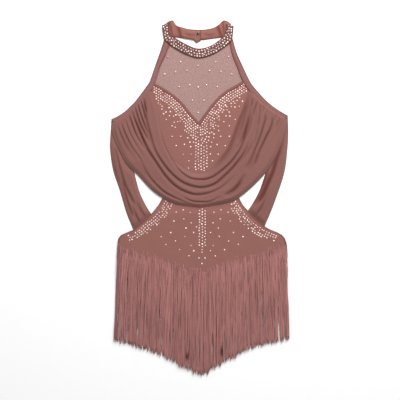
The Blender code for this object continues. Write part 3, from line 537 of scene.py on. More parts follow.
def crease(xy, points, depths, half_width):
    """Depth of a crease at plan points: steep on its left as it runs, easier on its right, with
    a swell along the steep side."""
    path = along(points)(np.linspace(0, 1, 7 * len(points)))
    reach = 3.2 * LEE * half_width
    near = np.all((xy > path.min(axis=0) - reach) & (xy < path.max(axis=0) + reach), axis=-1)
    spots = xy[near]
    nearest = np.full(len(spots), np.inf)
    side, place = np.zeros(len(spots)), np.zeros(len(spots))
    for k, (a, b) in enumerate(zip(path, path[1:])):
        run = b - a
        t = np.clip(((spots - a) @ run) / max(run @ run, 1e-9), 0, 1)
        off = spots - a - t[:, None] * run
        away = np.linalg.norm(off, axis=1)
        closer = away < nearest
        nearest[closer] = away[closer]
        place[closer] = (k + t[closer]) / (len(path) - 1)
        side[closer] = off[closer] @ np.array([run[1], -run[0]])
    sunk = through(np.linspace(0, 1, len(depths)), depths, np.clip(place, 1e-6, 1))
    sunk *= rise(place, 0, 0.1) * rise(1 - place, 0, 0.1)
    wide = np.where(side < 0, 1.0, LEE) * half_width
    off_swell = (nearest - SWELL_PLACE * half_width) / (SWELL_BREADTH * half_width)
    swell = np.exp(-off_swell ** 2) * (side < 0)
    depth = np.zeros(xy.shape[:-1])
    depth[near] = sunk * (np.exp(-(nearest / wide) ** 2) - SWELL_SHARE * swell)
    return depth


def creases(xy, table):
    """Depth of all the creases of a table at plan points."""
    return sum(crease(xy, points, depths, half_width) for depths, half_width, points in table)


# Outlines shared by several pieces

def neckline():
    return along(NECKLINE_LEFT, NECKLINE_RIGHT)


def swag_seams():
    return (along(SWAG_INNER_LEFT, SWAG_INNER_RIGHT), along(SWAG_HEM_LEFT, SWAG_HEM_RIGHT),
            along(SWAG_ARMHOLE_LEFT), along(SWAG_ARMHOLE_RIGHT))


def swag_outline():
    inner, hem, left, right = swag_seams()
    share = np.linspace(0, 1, 60)
    return np.vstack([inner(share), right(share), hem(share[::-1]), left(share[::-1])])


def brief_edges(y):
    """Left and right edge of the brief at a level."""
    rows = np.array(BRIEF_ROWS)[::-1]
    return np.interp(y, rows[:, 0], rows[:, 1]), np.interp(y, rows[:, 0], rows[:, 2])


def brief_outline():
    rows = np.array(BRIEF_ROWS)
    return np.vstack([rows[:, [1, 0]], rows[::-1, [2, 0]]])


def brief_lift(y):
    """Underside of the brief's front: on the surface at the waist, over the back layers below."""
    return HIP_FRONT_LAYER * rise(-np.asarray(y, float), -BRIEF_RAMP_Y[0], -BRIEF_RAMP_Y[1])


# Meshes

# Shares of the wall by which a cloth's rim is rounded off above and below, and the distances from
# the rim between which the painted shade along the rim fades
RIM_ROUND = (0.35, 0.25)
RIM_SHADE_FADE = (0.6, 4.0)


def deselect():
    for each in bpy.context.view_layer.objects:
        each.select_set(False)


def put(name, verts, quads, uv, look, smooth=True, shade=None):
    """A named object from arrays: verts in mm, quads as vertex numbers, uv per vertex in mm."""
    mesh = bpy.data.meshes.new(name)
    verts, quads = np.asarray(verts, float), np.asarray(quads, int)
    mesh.vertices.add(len(verts))
    mesh.vertices.foreach_set("co", (verts * MM).ravel())
    mesh.loops.add(quads.size)
    mesh.loops.foreach_set("vertex_index", quads.ravel())
    mesh.polygons.add(len(quads))
    mesh.polygons.foreach_set("loop_start", np.arange(0, quads.size, quads.shape[1]))
    layer = mesh.uv_layers.new(name="cloth")
    layer.data.foreach_set("uv", (np.asarray(uv, float)[quads.ravel()] * MM).ravel())
    if shade is not None:
        attribute = mesh.attributes.new("shade", "FLOAT", "POINT")
        attribute.data.foreach_set("value", np.asarray(shade, float))
    mesh.update(calc_edges=True)
    mesh.validate()
    if smooth:
        mesh.shade_smooth()
    mesh.materials.append(look)
    made = bpy.data.objects.new(name, mesh)
    bpy.context.scene.collection.objects.link(made)
    return made


def shell(name, xy, top, wall, look, mark=0.0, edge=0.0):
    """Closed thin wall over a grid of plan points, its rim rounded over. mark is painted shade that
    darkens the cloth fully where it is 1, in its creases, folds and hollows, and edge is painted
    shade along its rim. Returns the object and the lengths and area of its developed upper face, in
    metres."""
    rows, columns = xy.shape[:2]
    top = np.broadcast_to(top, xy.shape[:2]).copy()
    bottom = top - wall
    rim = np.zeros((rows, columns), bool)
    rim[[0, -1], :] = rim[:, [0, -1]] = True
    top[rim] -= RIM_ROUND[0] * wall
    bottom[rim] += RIM_ROUND[1] * wall
    grown = np.concatenate([xy, top[..., None]], axis=-1)
    upper = grown.reshape(-1, 3)
    lower = np.concatenate([xy, bottom[..., None]], axis=-1).reshape(-1, 3)
    index = np.arange(rows * columns).reshape(rows, columns)
    a, b, c, d = index[:-1, :-1], index[:-1, 1:], index[1:, 1:], index[1:, :-1]
    face = np.stack([a, d, c, b], axis=-1).reshape(-1, 4)
    corner = upper[face]
    area = np.cross(corner[:, 2] - corner[:, 0], corner[:, 3] - corner[:, 1])
    size = len(upper)
    ring = np.concatenate([index[0], index[1:, -1], index[-1, -2::-1], index[-2:0:-1, 0]])
    after = np.roll(ring, -1)
    sides = np.stack([ring, after, after + size, ring + size], axis=-1)
    if area[:, 2].sum() < 0:
        face, sides = face[:, ::-1], sides[:, ::-1]
    quads = np.vstack([face, face[:, ::-1] + size, sides])
    across = np.linalg.norm(np.diff(grown, axis=1), axis=-1)
    down = np.linalg.norm(np.diff(grown, axis=0), axis=-1)
    u = np.concatenate([np.zeros((rows, 1)), np.cumsum(across, axis=1)], axis=1)
    v = np.concatenate([np.zeros((1, columns)), np.cumsum(down, axis=0)], axis=0)
    from_rim = np.minimum(np.minimum(u, u[:, -1:] - u), np.minimum(v, v[-1:] - v))
    # painted shade: of the creases, folds and hollows, and along the rim
    shade = np.clip(mark + edge * (1 - rise(from_rim, *RIM_SHADE_FADE)), 0, 1).ravel()
    uv = np.stack([u, v], axis=-1).reshape(-1, 2)
    made = put(name, np.vstack([upper, lower]), quads, np.vstack([uv, uv]), look,
               shade=np.concatenate([shade, shade]))
    cut = (across.sum(axis=1).max() * MM, down.sum(axis=0).max() * MM)
    developed = 0.5 * np.linalg.norm(area, axis=1).sum() * MM * MM
    return made, cut, developed


def settle(made, nodes):
    """Ride on the garment's one body, standing for the solids named."""
    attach(made, "root")
    if nodes:
        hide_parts(*nodes)


def cloth(name, xy, top, wall, look, nodes,
          mark=0.0, edge=0.0):
    """A shell on the garment's one body, standing for the solids named; the size of its developed
    face is worked out but not used.
    """
    made, cut, area = shell(name, xy, top, wall, look, mark, edge)
    settle(made, nodes)
    return made


# Materials

LOOKS = {}
FOLD_SHADE_KEEPS = (1.0, 0.54, 0.46)              # red, green and blue that the painted shade of a deep fold keeps
KNIT_RIB, KNIT_COURSE = 0.0011, 0.0009      # widths in the knit, in metres
NET_PERIOD, NET_TURN = 0.0016, 0.785        # the net's diamonds, in metres and radians
NET_THREAD_SHARE = 0.42
NET_HOLE_ALPHA, NET_THREAD_ALPHA = 0.43, 0.03
FLOOR_WHITE, FLOOR_SPECK = (1.0, 1.0, 1.0, 1.0), (0.985, 0.985, 0.985, 1.0)


def fold_shade_of(colour, share):
    """Painted shade of a deep fold: the colour darkened and turned redder, as light that comes back
    off the cloth itself turns it.
    """
    return (*[channel * share * kept for channel, kept in zip(colour, FOLD_SHADE_KEEPS)], 1.0)


def shadow_of(colour, share=0.62):
    return (*[channel * share for channel in colour], 1.0)


def set_inputs(tree, node, inputs):
    """Give each named input of a node its value, or a link from the output given."""
    for name, value in inputs.items():
        if isinstance(value, bpy.types.NodeSocket):
            tree.links.new(value, node.inputs[name])
        else:
            node.inputs[name].default_value = value


def add(tree, kind, inputs, **settings):
    """A new node with its own settings, and the values or links of its inputs."""
    node = tree.nodes.new(kind)
    for key, value in settings.items():
        setattr(node, key, value)
    set_inputs(tree, node, inputs)
    return node


def tree_of(name):
    made = bpy.data.materials.new(name)
    made.use_nodes = True
    return made, made.node_tree, made.node_tree.nodes["Principled BSDF"]


def sockets(group, ins, outs):
    """The named inputs, with their defaults, and the named outputs of a node group."""
    for name, kind, value in ins:
        made = group.interface.new_socket(name=name, in_out="INPUT", socket_type=kind)
        if value is not None:
            made.default_value = value
    for name, kind in outs:
        group.interface.new_socket(name=name, in_out="OUTPUT", socket_type=kind)
    return group.nodes.new("NodeGroupInput").outputs, group.nodes.new("NodeGroupOutput")


def wave(tree, vector, period, turn=0.0, direction="X"):
    """Bands with a period in metres across a metric vector, turned in its plane. At scale 1 the
    texture runs through 20 radians in a metre."""
    turned = add(tree, "ShaderNodeMapping", {"Vector": vector, "Rotation": (0, 0, turn)})
    bands = add(tree, "ShaderNodeTexWave", {"Vector": turned.outputs["Vector"],
                                            "Scale": 2 * np.pi / (20 * period)},
                wave_profile="SIN", bands_direction=direction)
    return bands.outputs["Fac"]


def noise(tree, vector, scale, detail=2.0):
    """Uneven cloud of values, at a scale in lengths of a metre."""
    return add(tree, "ShaderNodeTexNoise",
               {"Vector": vector, "Scale": scale, "Detail": detail}).outputs["Fac"]


def blend_colours(tree, fac, first, second):
    return add(tree, "ShaderNodeMix", {"Factor": fac, "A": first, "B": second},
               data_type="RGBA").outputs["Result"]


def maths(tree, operation, first, second):
    return add(tree, "ShaderNodeMath", {0: first, 1: second},
               operation=operation).outputs["Value"]


def surface_vectors(tree):
    """Place on the object, and place along the cloth from its own map."""
    place = add(tree, "ShaderNodeTexCoord", {}).outputs["Object"]
    weave = add(tree, "ShaderNodeUVMap", {}, uv_map="cloth").outputs["UV"]
    return place, weave


def shade_mark(tree):
    return add(tree, "ShaderNodeAttribute", {}, attribute_name="shade").outputs["Fac"]


def knit_group():
    """Fine knit ribs, fibre grain and slow tone changes of a stretch cloth."""
    group = bpy.data.node_groups.new("knit_surface", "ShaderNodeTree")
    inside, outside = sockets(
        group,
        [("Colour", "NodeSocketColor", (0.3, 0.13, 0.11, 1)),
         ("Shadow Colour", "NodeSocketColor", (0.2, 0.09, 0.08, 1)),
         ("Tone", "NodeSocketFloat", 0.3), ("Grain", "NodeSocketFloat", 0.22),
         ("Place", "NodeSocketVector", None), ("Weave", "NodeSocketVector", None)],
        [("Colour", "NodeSocketColor"), ("Height", "NodeSocketFloat")])
    slow = noise(group, inside["Place"], 11.0, 3.0)
    fibre = noise(group, inside["Place"], 420.0, 2.0)
    rib = wave(group, inside["Weave"], KNIT_RIB)
    course = wave(group, inside["Weave"], KNIT_COURSE, direction="Y")
    tone = maths(group, "MULTIPLY", slow, inside["Tone"])
    toned = blend_colours(group, tone, inside["Colour"], inside["Shadow Colour"])
    grain = maths(group, "MULTIPLY", fibre, inside["Grain"])
    stitches = maths(group, "MULTIPLY", rib, course)
    set_inputs(group, outside, {
        "Colour": blend_colours(group, grain, toned, inside["Shadow Colour"]),
        "Height": maths(group, "ADD", stitches, fibre)})
    return group


def net_group():
    """Threads of a fine diamond net: 1 on a thread, 0 in a hole."""
    group = bpy.data.node_groups.new("net_threads", "ShaderNodeTree")
    inside, outside = sockets(
        group, [("Weave", "NodeSocketVector", None), ("Thread Share", "NodeSocketFloat", 0.5)],
        [("Thread", "NodeSocketFloat")])
    first, second = (wave(group, inside["Weave"], NET_PERIOD, turn=turn)
                     for turn in (NET_TURN, -NET_TURN))
    ridge = maths(group, "MAXIMUM", first, second)
    limit = maths(group, "SUBTRACT", 1.0, inside["Thread Share"])
    set_inputs(group, outside, {"Thread": maths(group, "GREATER_THAN", ridge, limit)})
    return group


def knit_look(name, colour, group, tone=0.35, grain=0.22, roughness=0.85, sheen=0.25, bump=0.25,
              dark=0.0):
    """Cloth or yarn; dark is how far a full mark of the piece's shade attribute darkens it with
    painted fold shade.
    """
    made, tree, shader = tree_of(name)
    place, weave = surface_vectors(tree)
    knit = add(tree, "ShaderNodeGroup", {
        "Colour": (*colour, 1.0), "Shadow Colour": shadow_of(colour), "Tone": tone,
        "Grain": grain, "Place": place, "Weave": weave}, node_tree=group)
    tint = knit.outputs["Colour"]
    if dark:
        # painted shade, blended in by the shade attribute
        tint = blend_colours(tree, shade_mark(tree), tint, fold_shade_of(colour, 1 - dark))
    relief = add(tree, "ShaderNodeBump", {"Strength": bump, "Distance": 0.0003,
                                          "Height": knit.outputs["Height"]})
    set_inputs(tree, shader, {
        "Base Color": tint, "Normal": relief.outputs["Normal"], "Roughness": roughness,
        "Specular IOR Level": 0.25, "Sheen Weight": sheen, "Sheen Roughness": 0.5})
    return made


def net_look(name, colour, knit, threads):
    """Sheer net: a thin knit look that lets through what lies under it."""
    made = knit_look(name, colour, knit, tone=0.15, grain=0.05, sheen=0.1, bump=0.05)
    tree, shader = made.node_tree, made.node_tree.nodes["Principled BSDF"]
    net = add(tree, "ShaderNodeGroup", {"Weave": surface_vectors(tree)[1],
                                        "Thread Share": NET_THREAD_SHARE}, node_tree=threads)
    veil = maths(tree, "MULTIPLY", net.outputs["Thread"], NET_THREAD_ALPHA)
    set_inputs(tree, shader, {"Alpha": maths(tree, "ADD", veil, NET_HOLE_ALPHA)})
    return made


def stone_look(name, colour):
    """Foiled glass stone with a painted glow, given off as a weak emission, and painted sparkle:
    each a little brighter or duller than the next.
    """
    made, tree, shader = tree_of(name)
    tint = blend_colours(tree, shade_mark(tree), (*colour, 1.0), shadow_of(colour, 0.45))
    # painted glow: the tint is given off as a weak emission
    set_inputs(tree, shader, {
        "Base Color": tint, "Emission Color": tint, "Emission Strength": 0.16, "Metallic": 0.2,
        "Roughness": 0.15, "Coat Weight": 0.6})
    return made


def ring_look(name, colour):
    """Handled metal, its polish and tone uneven."""
    made, tree, shader = tree_of(name)
    worn = noise(tree, surface_vectors(tree)[0], 260.0)
    set_inputs(tree, shader, {
        "Base Color": blend_colours(tree, worn, (*colour, 1.0), shadow_of(colour, 0.7)),
        "Roughness": maths(tree, "MULTIPLY", worn, 0.6), "Metallic": 0.7})
    return made


def floor_look(name):
    made, tree, shader = tree_of(name)
    speck = noise(tree, surface_vectors(tree)[0], 40.0)
    set_inputs(tree, shader, {"Base Color": blend_colours(tree, speck, FLOOR_WHITE, FLOOR_SPECK),
                              "Roughness": 0.9, "Specular IOR Level": 0.1})
    return made


def make_looks(props):
    knit, threads = knit_group(), net_group()
    LOOKS["jersey"] = knit_look("matte_jersey", props.jersey_colour, knit, grain=0.42, dark=0.45)
    LOOKS["binding"] = knit_look("bound_jersey", props.binding_colour, knit, dark=0.4)
    # collar cloth darkened with painted shade between the stones
    LOOKS["collar"] = knit_look("collar_jersey", props.collar_shaded_colour, knit, dark=0.5)
    # the swag's jersey darkened with painted shade
    LOOKS["swag"] = knit_look("swag_jersey", props.swag_shaded_colour, knit, tone=0.4, dark=0.5)
    LOOKS["net"] = net_look("sheer_net", props.net_colour, knit, threads)
    LOOKS["chainette"] = knit_look("chainette", props.fringe_colour, knit, tone=0.3,
                                   roughness=0.7, sheen=0.15, bump=0.4, dark=0.9)
    LOOKS["thread"] = knit_look("sewing_thread", props.thread_colour, knit, tone=0.2,
                                roughness=0.6)
    LOOKS["stone"] = stone_look("foiled_stone", props.stone_colour)
    LOOKS["ring"] = ring_look("ring_metal", props.ring_colour)
    # the stud's very dark colour is painted shade in the ring's hole
    LOOKS["stud"] = ring_look("stud_metal", props.stud_shade_colour)


# Small repeated shapes

def scattered(name, template, spots, look, smooth=False):
    """Copies of one small shape joined in one mesh. A spot is x, y, z, turn, scale, shade."""
    verts, faces = template
    spots = np.asarray(spots, float)
    x, y, z = (verts[None, :, axis] * spots[:, 4:5] for axis in range(3))
    cos, sin = np.cos(spots[:, 3:4]), np.sin(spots[:, 3:4])
    placed = np.stack([x * cos - y * sin + spots[:, 0:1], x * sin + y * cos + spots[:, 1:2],
                       z + spots[:, 2:3]], axis=-1).reshape(-1, 3)
    step = np.arange(len(spots))[:, None, None] * len(verts)
    joined = (faces[None] + step).reshape(-1, faces.shape[1])
    made = put(name, placed, joined, placed[:, :2], look, smooth,
               np.repeat(spots[:, 5], len(verts)))
    settle(made, ())


def template_of(made):
    """Triangles of a modelled object as arrays, in mm; the object is then removed."""
    bm = bmesh.new()
    bm.from_mesh(made.data)
    bmesh.ops.triangulate(bm, faces=bm.faces[:])
    bmesh.ops.recalc_face_normals(bm, faces=bm.faces[:])
    bm.verts.index_update()
    verts = np.array([vert.co[:] for vert in bm.verts]) / MM
    faces = np.array([[vert.index for vert in face.verts] for face in bm.faces])
    bm.free()
    bpy.data.objects.remove(made, do_unlink=True)
    return verts, faces


def select_top(made):
    """Leave only the highest face selected in edit mode."""
    bpy.ops.object.mode_set(mode="EDIT")
    bpy.ops.mesh.select_mode(type="FACE")
    bpy.ops.mesh.select_all(action="DESELECT")
    bpy.ops.object.mode_set(mode="OBJECT")
    highest = max(made.data.polygons, key=lambda face: face.center.z)
    highest.select = True
    bpy.ops.object.mode_set(mode="EDIT")


def stone_template():
    """Chaton of 1 mm radius: short girdle, eight crown facets and a flat table."""
    girdle, crown, table_share = 0.3 * MM, 0.42 * MM, 0.58
    deselect()
    bpy.ops.mesh.primitive_cylinder_add(vertices=8, radius=1 * MM, depth=girdle,
                                        location=(0, 0, girdle / 2))
    made = bpy.context.object
    select_top(made)
    bpy.ops.mesh.extrude_region_move(TRANSFORM_OT_translate={"value": (0, 0, crown)})
    bpy.ops.transform.resize(value=(table_share, table_share, 1))
    bpy.ops.object.mode_set(mode="OBJECT")
    return template_of(made)


def stitch_template():
    """One stitch, humped over the cloth and sunk at both ends."""
    deselect()
    bpy.ops.mesh.primitive_cylinder_add(vertices=6, radius=STITCH_RADIUS * MM,
                                        depth=STITCH_LENGTH * MM, rotation=(0, np.pi / 2, 0))
    made = bpy.context.object
    bpy.ops.object.transform_apply(location=False, rotation=True, scale=False)
    bpy.ops.object.mode_set(mode="EDIT")
    bpy.ops.mesh.select_all(action="SELECT")
    bpy.ops.mesh.subdivide(number_cuts=1)
    bpy.ops.object.mode_set(mode="OBJECT")
    for vert in made.data.vertices:
        end = abs(vert.co.x) / (STITCH_LENGTH / 2 * MM)
        vert.co.y *= 1 - 0.5 * end ** 2
        vert.co.z = vert.co.z * (1 - 0.5 * end ** 2) - STITCH_SINK * MM * end ** 2
    return template_of(made)


def row_spots(curve, pitch, z, phase=0.0):
    """Spots at an even pitch along a curve, turned with it: x, y, z, turn, scale, shade."""
    fine = curve(np.linspace(0, 1, 400))
    length = np.concatenate([[0], np.cumsum(np.linalg.norm(np.diff(fine, axis=0), axis=1))])
    place = np.arange(pitch * (0.5 + 0.5 * phase), length[-1], pitch)
    (x, y), ahead, behind = ([np.interp(place + step, length, fine[:, axis]) for axis in (0, 1)]
                             for step in (0, 1, -1))
    turn = np.arctan2(ahead[1] - behind[1], ahead[0] - behind[0])
    level = z(x, y) if callable(z) else np.full(len(place), z)
    return np.column_stack([x, y, level, turn, np.ones(len(place)), np.zeros(len(place))])


# Surfaces that carry stones and stitches: height of the top of the cloth at a plan point

def collar_lift(y):
    """How far the front collar rises over the ends of its back bands."""
    return FRONT_COLLAR_LAYER * rise(y, *COLLAR_RAMP_Y)


def collar_top(x, y):
    return collar_lift(y) + COLLAR_TOP + COLLAR_CROWN - STONE_SINK


def yoke_top(x, y):
    return YOKE_STONE_LEVEL


def brief_top(x, y):
    return brief_lift(y) + BRIEF_TOP


def bodice_top(x, y):
    wide, high = BUST_REACH
    bust = sum(np.exp(-((x - side) / wide) ** 2 - ((y - BUST_Y) / high) ** 2)
               for side in BUST_SIDES)
    return BODICE_TOP + BUST_HEIGHT * bust


# Pieces

def band(u, v, upper, lower):
    """Patch between two given edges whose ends are joined straight."""
    ends = [straight(upper[k], lower[k]) for k in (0, -1)]
    return patch(u, v, along(upper), along(lower), *ends)


def make_collar():
    """Front collar band, and the two back bands that lap at the centre back."""
    u, v = grid(140, 18, 270, 20)
    xy = band(u, v, COLLAR_UPPER, COLLAR_LOWER)
    crown = COLLAR_CROWN * rise(v, 0, 0.13) * rise(1 - v, 0, 0.13)
    crown += 0.10 * np.sin(61 * u) * np.sin(np.pi * v)
    top = collar_lift(xy[..., 1]) + COLLAR_TOP + crown
    # painted shade along the rim
    cloth("collar_front_band", xy, top, COLLAR_WALL, LOOKS["collar"],
          ["collar_front"], edge=0.6)
    halves = (("left", BACK_LEFT_UPPER, BACK_LEFT_LOWER, BACK_FOLDS_LEFT),
              ("right", BACK_RIGHT_UPPER, BACK_RIGHT_LOWER, BACK_FOLDS_RIGHT))
    for side, upper, lower, folds in halves:
        u, v = grid(90, 20, 95, 24)
        xy = band(u, v, upper, lower)
        lap = LAP_LAYER * rise(xy[..., 0], *LAP_RAMP_X) if side == "left" else 0.0
        sunk = creases(xy, folds)
        crown = BACK_BAND_CROWN * rise(v, 0, 0.25) * rise(1 - v, 0, 0.25)
        top = lap + BACK_BAND_TOP + np.maximum(crown - sunk, 0)
        # painted shade in the folds and along the rim
        cloth(f"collar_back_band_{side}", xy, top, STRAP_WALL, LOOKS["jersey"],
              [f"collar_back_{side}"], mark=np.clip(sunk / COLLAR_FOLD_FULL, 0, 1), edge=0.9)


def make_snap():
    """Oval wire ring sewn on the lap, with its stud inside coloured very dark as painted shade in
    the ring's hole.
    """
    middle = LAP_LAYER + SNAP_LIFT
    deselect()
    bpy.ops.mesh.primitive_torus_add(major_segments=40, minor_segments=12,
                                     major_radius=RING_RADIUS * MM, minor_radius=RING_WIRE * MM)
    ring = bpy.context.object
    deselect()
    bpy.ops.mesh.primitive_uv_sphere_add(segments=20, ring_count=10, radius=STUD_RADIUS * MM)
    stud = bpy.context.object
    for made, look, stretch, flattening in ((ring, "ring", RING_STRETCH, 1.0),
                                            (stud, "stud", STUD_STRETCH, STUD_FLATTENING)):
        made.name = made.data.name = f"collar_{look}"
        for vert in made.data.vertices:
            vert.co.x += SNAP_CENTRE[0] * MM
            vert.co.y = vert.co.y * stretch + SNAP_CENTRE[1] * MM
            vert.co.z = vert.co.z * flattening + middle * MM
        made.data.uv_layers[0].name = "cloth"
        made.data.materials.append(LOOKS[look])
        made.data.shade_smooth()
        settle(made, ["collar_snap"])


def make_straps():
    """Straps from the collar to the armhole, where each is bound over the swag's gathered edge."""
    length = 220
    for side, outer, inner in (("left", STRAP_LEFT_OUTER, STRAP_LEFT_INNER),
                               ("right", STRAP_RIGHT_OUTER, STRAP_RIGHT_INNER)):
        u, v = grid(140, 14, length, 9)
        xy = band(u, v, outer, inner)
        climb = rise(u, *STRAP_CLIMB_SHARES)
        into = np.gradient(xy, axis=0).sum(axis=0, keepdims=True)
        into = into / np.linalg.norm(into, axis=-1, keepdims=True)
        xy = xy + into * (climb * v * 0.9)[..., None]
        hollow = np.exp(-((v - 0.78) / 0.09) ** 2) + np.exp(-((v - 0.2) / 0.08) ** 2)
        top = STRAP_TOP + STRAP_CLIMB * climb + STRAP_CROWN * (
            np.sin(np.pi * v) - hollow * (1 - 0.6 * climb))
        tucked = 1 - rise(u * length, 2, 9)
        # painted shade in the hollows beside the edges, and along the rim
        cloth(f"side_strap_{side}", xy, top - tucked, STRAP_WALL, LOOKS["binding"],
              [f"strap_{side}"],
              mark=0.35 * hollow * (1 - climb), edge=0.8 - 0.5 * climb)


def make_yoke():
    """Net tucked under the collar, the straps and the neckline's binding."""
    top = moved_aside(part_of(along(COLLAR_LOWER), *YOKE_COLLAR_SHARES), -TUCK)
    bottom = moved_aside(neckline(), 2 * TUCK)
    left = moved_aside(part_of(along(STRAP_LEFT_INNER), 0, YOKE_STRAP_SHARES[0]), TUCK)
    right = moved_aside(part_of(along(STRAP_RIGHT_INNER), 0, YOKE_STRAP_SHARES[1]), -TUCK)
    u, v = grid(81, 61, 170, 110)
    xy = patch(u, v, capped(top, left, right, 0), capped(bottom, left, right, 1), left, right)
    ripple = 0.2 * np.sin(9 * u + 4 * v) * np.sin(np.pi * v) * np.sin(np.pi * u)
    cloth("yoke_net", xy, YOKE_TOP + ripple, NET_WALL, LOOKS["net"],
          ["yoke_mesh"])


def make_bodice():
    """Binding along the neckline, and the panel below it that runs under the swag."""
    upper = along([BINDING_TUCKS[0], *NECKLINE_LEFT], [*NECKLINE_RIGHT, BINDING_TUCKS[1]])
    lower = moved_aside(upper, BINDING_WIDTH)
    u, v = grid(161, 8, 260, BINDING_WIDTH)
    ends = [straight(upper(np.array(s)), lower(np.array(s))) for s in (0.0, 1.0)]
    xy = patch(u, v, upper, lower, *ends)
    top = BINDING_TOP + BINDING_CROWN * np.sin(np.pi * v)
    # painted shade along the rim
    binding = shell("neckline_bind", xy, top, JERSEY_WALL, LOOKS["binding"], edge=0.7)[0]
    settle(binding, ["neckline_binding"])

    top_seam = moved_aside(neckline(), BINDING_WIDTH - TUCK)
    left = along([BODICE_TUCKS[0], *BODICE_SIDE_LEFT[1:]])
    right = along([BODICE_TUCKS[1], *BODICE_SIDE_RIGHT[1:]])
    bottom = straight(BODICE_SIDE_LEFT[-1], BODICE_SIDE_RIGHT[-1])
    u, v = grid(121, 101, 230, 200)
    xy = patch(u, v, capped(top_seam, left, right, 0), bottom, left, right)
    cloth("bodice_panel", xy, bodice_top(xy[..., 0], xy[..., 1]), JERSEY_WALL, LOOKS["jersey"],
          ["bodice_front"])


def swag_height(xy, u, v, span, run):
    """Folds of the swag over its underlay, and the painted shade of its creases and inner edge at
    each place, from 0 to 1. span is the swag's breadth at each place and run its length."""
    swell = through(SWAG_STATIONS, SWAG_HEIGHTS, u)
    slope = 9 + 11 * rise(u, 0.52, 0.66)
    height = swell * rise(v * span, 0, slope) ** 0.8 * rise((1 - v) * span, 0, 12) ** 0.7
    sunk = creases(xy, SWAG_CREASES)
    flutter = 0.15 * np.sin(0.11 * xy[..., 0] + 3 * np.sin(7 * v)) * np.sin(np.pi * v)
    # painted shade in the creases, weighted along the swag
    crease_shade = np.clip(sunk / CREASE_FULL, 0, 1) ** 1.6 * through(SWAG_STATIONS, SWAG_CREASE_SHADES, u)
    # shadow that the rolled inner edge throws on the right of the swag
    shadow = 0.62 * np.exp(-((v * span - 5) / 6.5) ** 2)
    shadow = shadow * rise(u, 0.55, 0.66) * rise(1 - u, 0, 0.1)
    from_end = np.minimum(u, 1 - u) * run
    height = np.maximum(height - sunk + flutter, 0) * (0.3 + 0.7 * rise(from_end, 0, 5))
    return height, np.maximum(crease_shade, shadow)


def make_swag():
    """Front swag, from armhole to armhole over the bodice and the brief's waist."""
    inner, hem, left, right = swag_seams()
    u, v = grid(268, 146, 560, 110)
    xy = patch(u, v, inner, hem, left, right)
    span = np.linalg.norm(inner(u) - hem(u), axis=-1)
    run = np.linalg.norm(np.diff(xy, axis=1), axis=-1).sum(axis=1)[:, None]
    height, tone = swag_height(xy, u, v, span, run)
    top = SWAG_LAYER + brief_lift(xy[..., 1]) + SWAG_TOP + height
    top = np.maximum(top, bodice_top(xy[..., 0], xy[..., 1]) + SWAG_CLEARANCE)
    # painted shade of the creases, and painted shadow beside the inner edge
    cloth("front_swag", xy, top, JERSEY_WALL, LOOKS["swag"], ["drape_front"],
          mark=tone)


def make_back_swag():
    """Back swag in two halves: it stands up only where neither the front swag nor the brief
    lies over it."""
    swag, brief = swag_outline(), brief_outline()
    halves = (("left", BACK_OUTER_LEFT, BACK_INNER_LEFT, BACK_ARMHOLE_LEFT, BACK_CREASES_LEFT),
              ("right", BACK_OUTER_RIGHT, BACK_INNER_RIGHT, BACK_ARMHOLE_RIGHT,
               BACK_CREASES_RIGHT))
    for side, outer, inner, armhole, folds in halves:
        u, v = grid(190, 56, 330, 48)
        centre_back = straight(outer[-1], inner[-1])
        xy = patch(u, v, along(outer), along(inner), along(armhole), centre_back)
        free = np.minimum(outside_by(xy, swag), outside_by(xy, brief))
        height = BACK_HEIGHT * rise(v, 0, 0.18) ** 0.7 * rise(1 - v, 0, 0.2) ** 0.7
        sunk = creases(xy, folds)
        top = BACK_LAYER + SWAG_TOP + np.maximum(height - sunk, 0) * rise(free, 0.8, BACK_FADE)
        # painted shade in the creases, and a little along the rim
        cloth(f"back_swag_{side}", xy, top, JERSEY_WALL, LOOKS["swag"],
              [f"drape_back_{side}"],
              mark=np.clip(sunk / CREASE_FULL, 0, 1) ** 1.1, edge=0.2)


def make_brief():
    """Front of the brief from waist to crotch, and its back from under the fringe line."""
    rows = np.array(BRIEF_ROWS)
    y_line = -np.sort(-np.unique(np.concatenate([rows[:, 0], np.linspace(24.7, -299.7, 130)])))
    left, right = brief_edges(y_line)
    x = left[:, None] + (right - left)[:, None] * lipped(90, 300)
    y = np.broadcast_to(y_line[:, None], x.shape)
    ripple = 0.22 * np.sin(0.11 * x + 0.05 * y) * np.sin(0.07 * y) * rise(-y, 20, 60)
    # painted shade along the rim
    cloth("brief_front", np.stack([x, y], axis=-1), brief_top(x, y) + ripple, JERSEY_WALL,
          LOOKS["jersey"], ["hip_front"], edge=1.0)

    side_rows = rows[rows[:, 0] < BRIEF_BACK_SEAM[0][1]]
    left_seam, right_seam = (along([corner] + [(row[column], row[0]) for row in side_rows])
                             for corner, column in ((BRIEF_BACK_SEAM[0], 1),
                                                    (BRIEF_BACK_SEAM[-1], 2)))
    bottom = straight(left_seam(np.array(1.0)), right_seam(np.array(1.0)))
    u, v = grid(70, 60, 300, 190)
    xy = patch(u, v, along(BRIEF_BACK_SEAM), bottom, left_seam, right_seam)
    cloth("brief_back", xy, HIP_BACK_LAYER + BRIEF_BACK_TOP, JERSEY_WALL, LOOKS["jersey"],
          ["hip_back"])


# Fringe

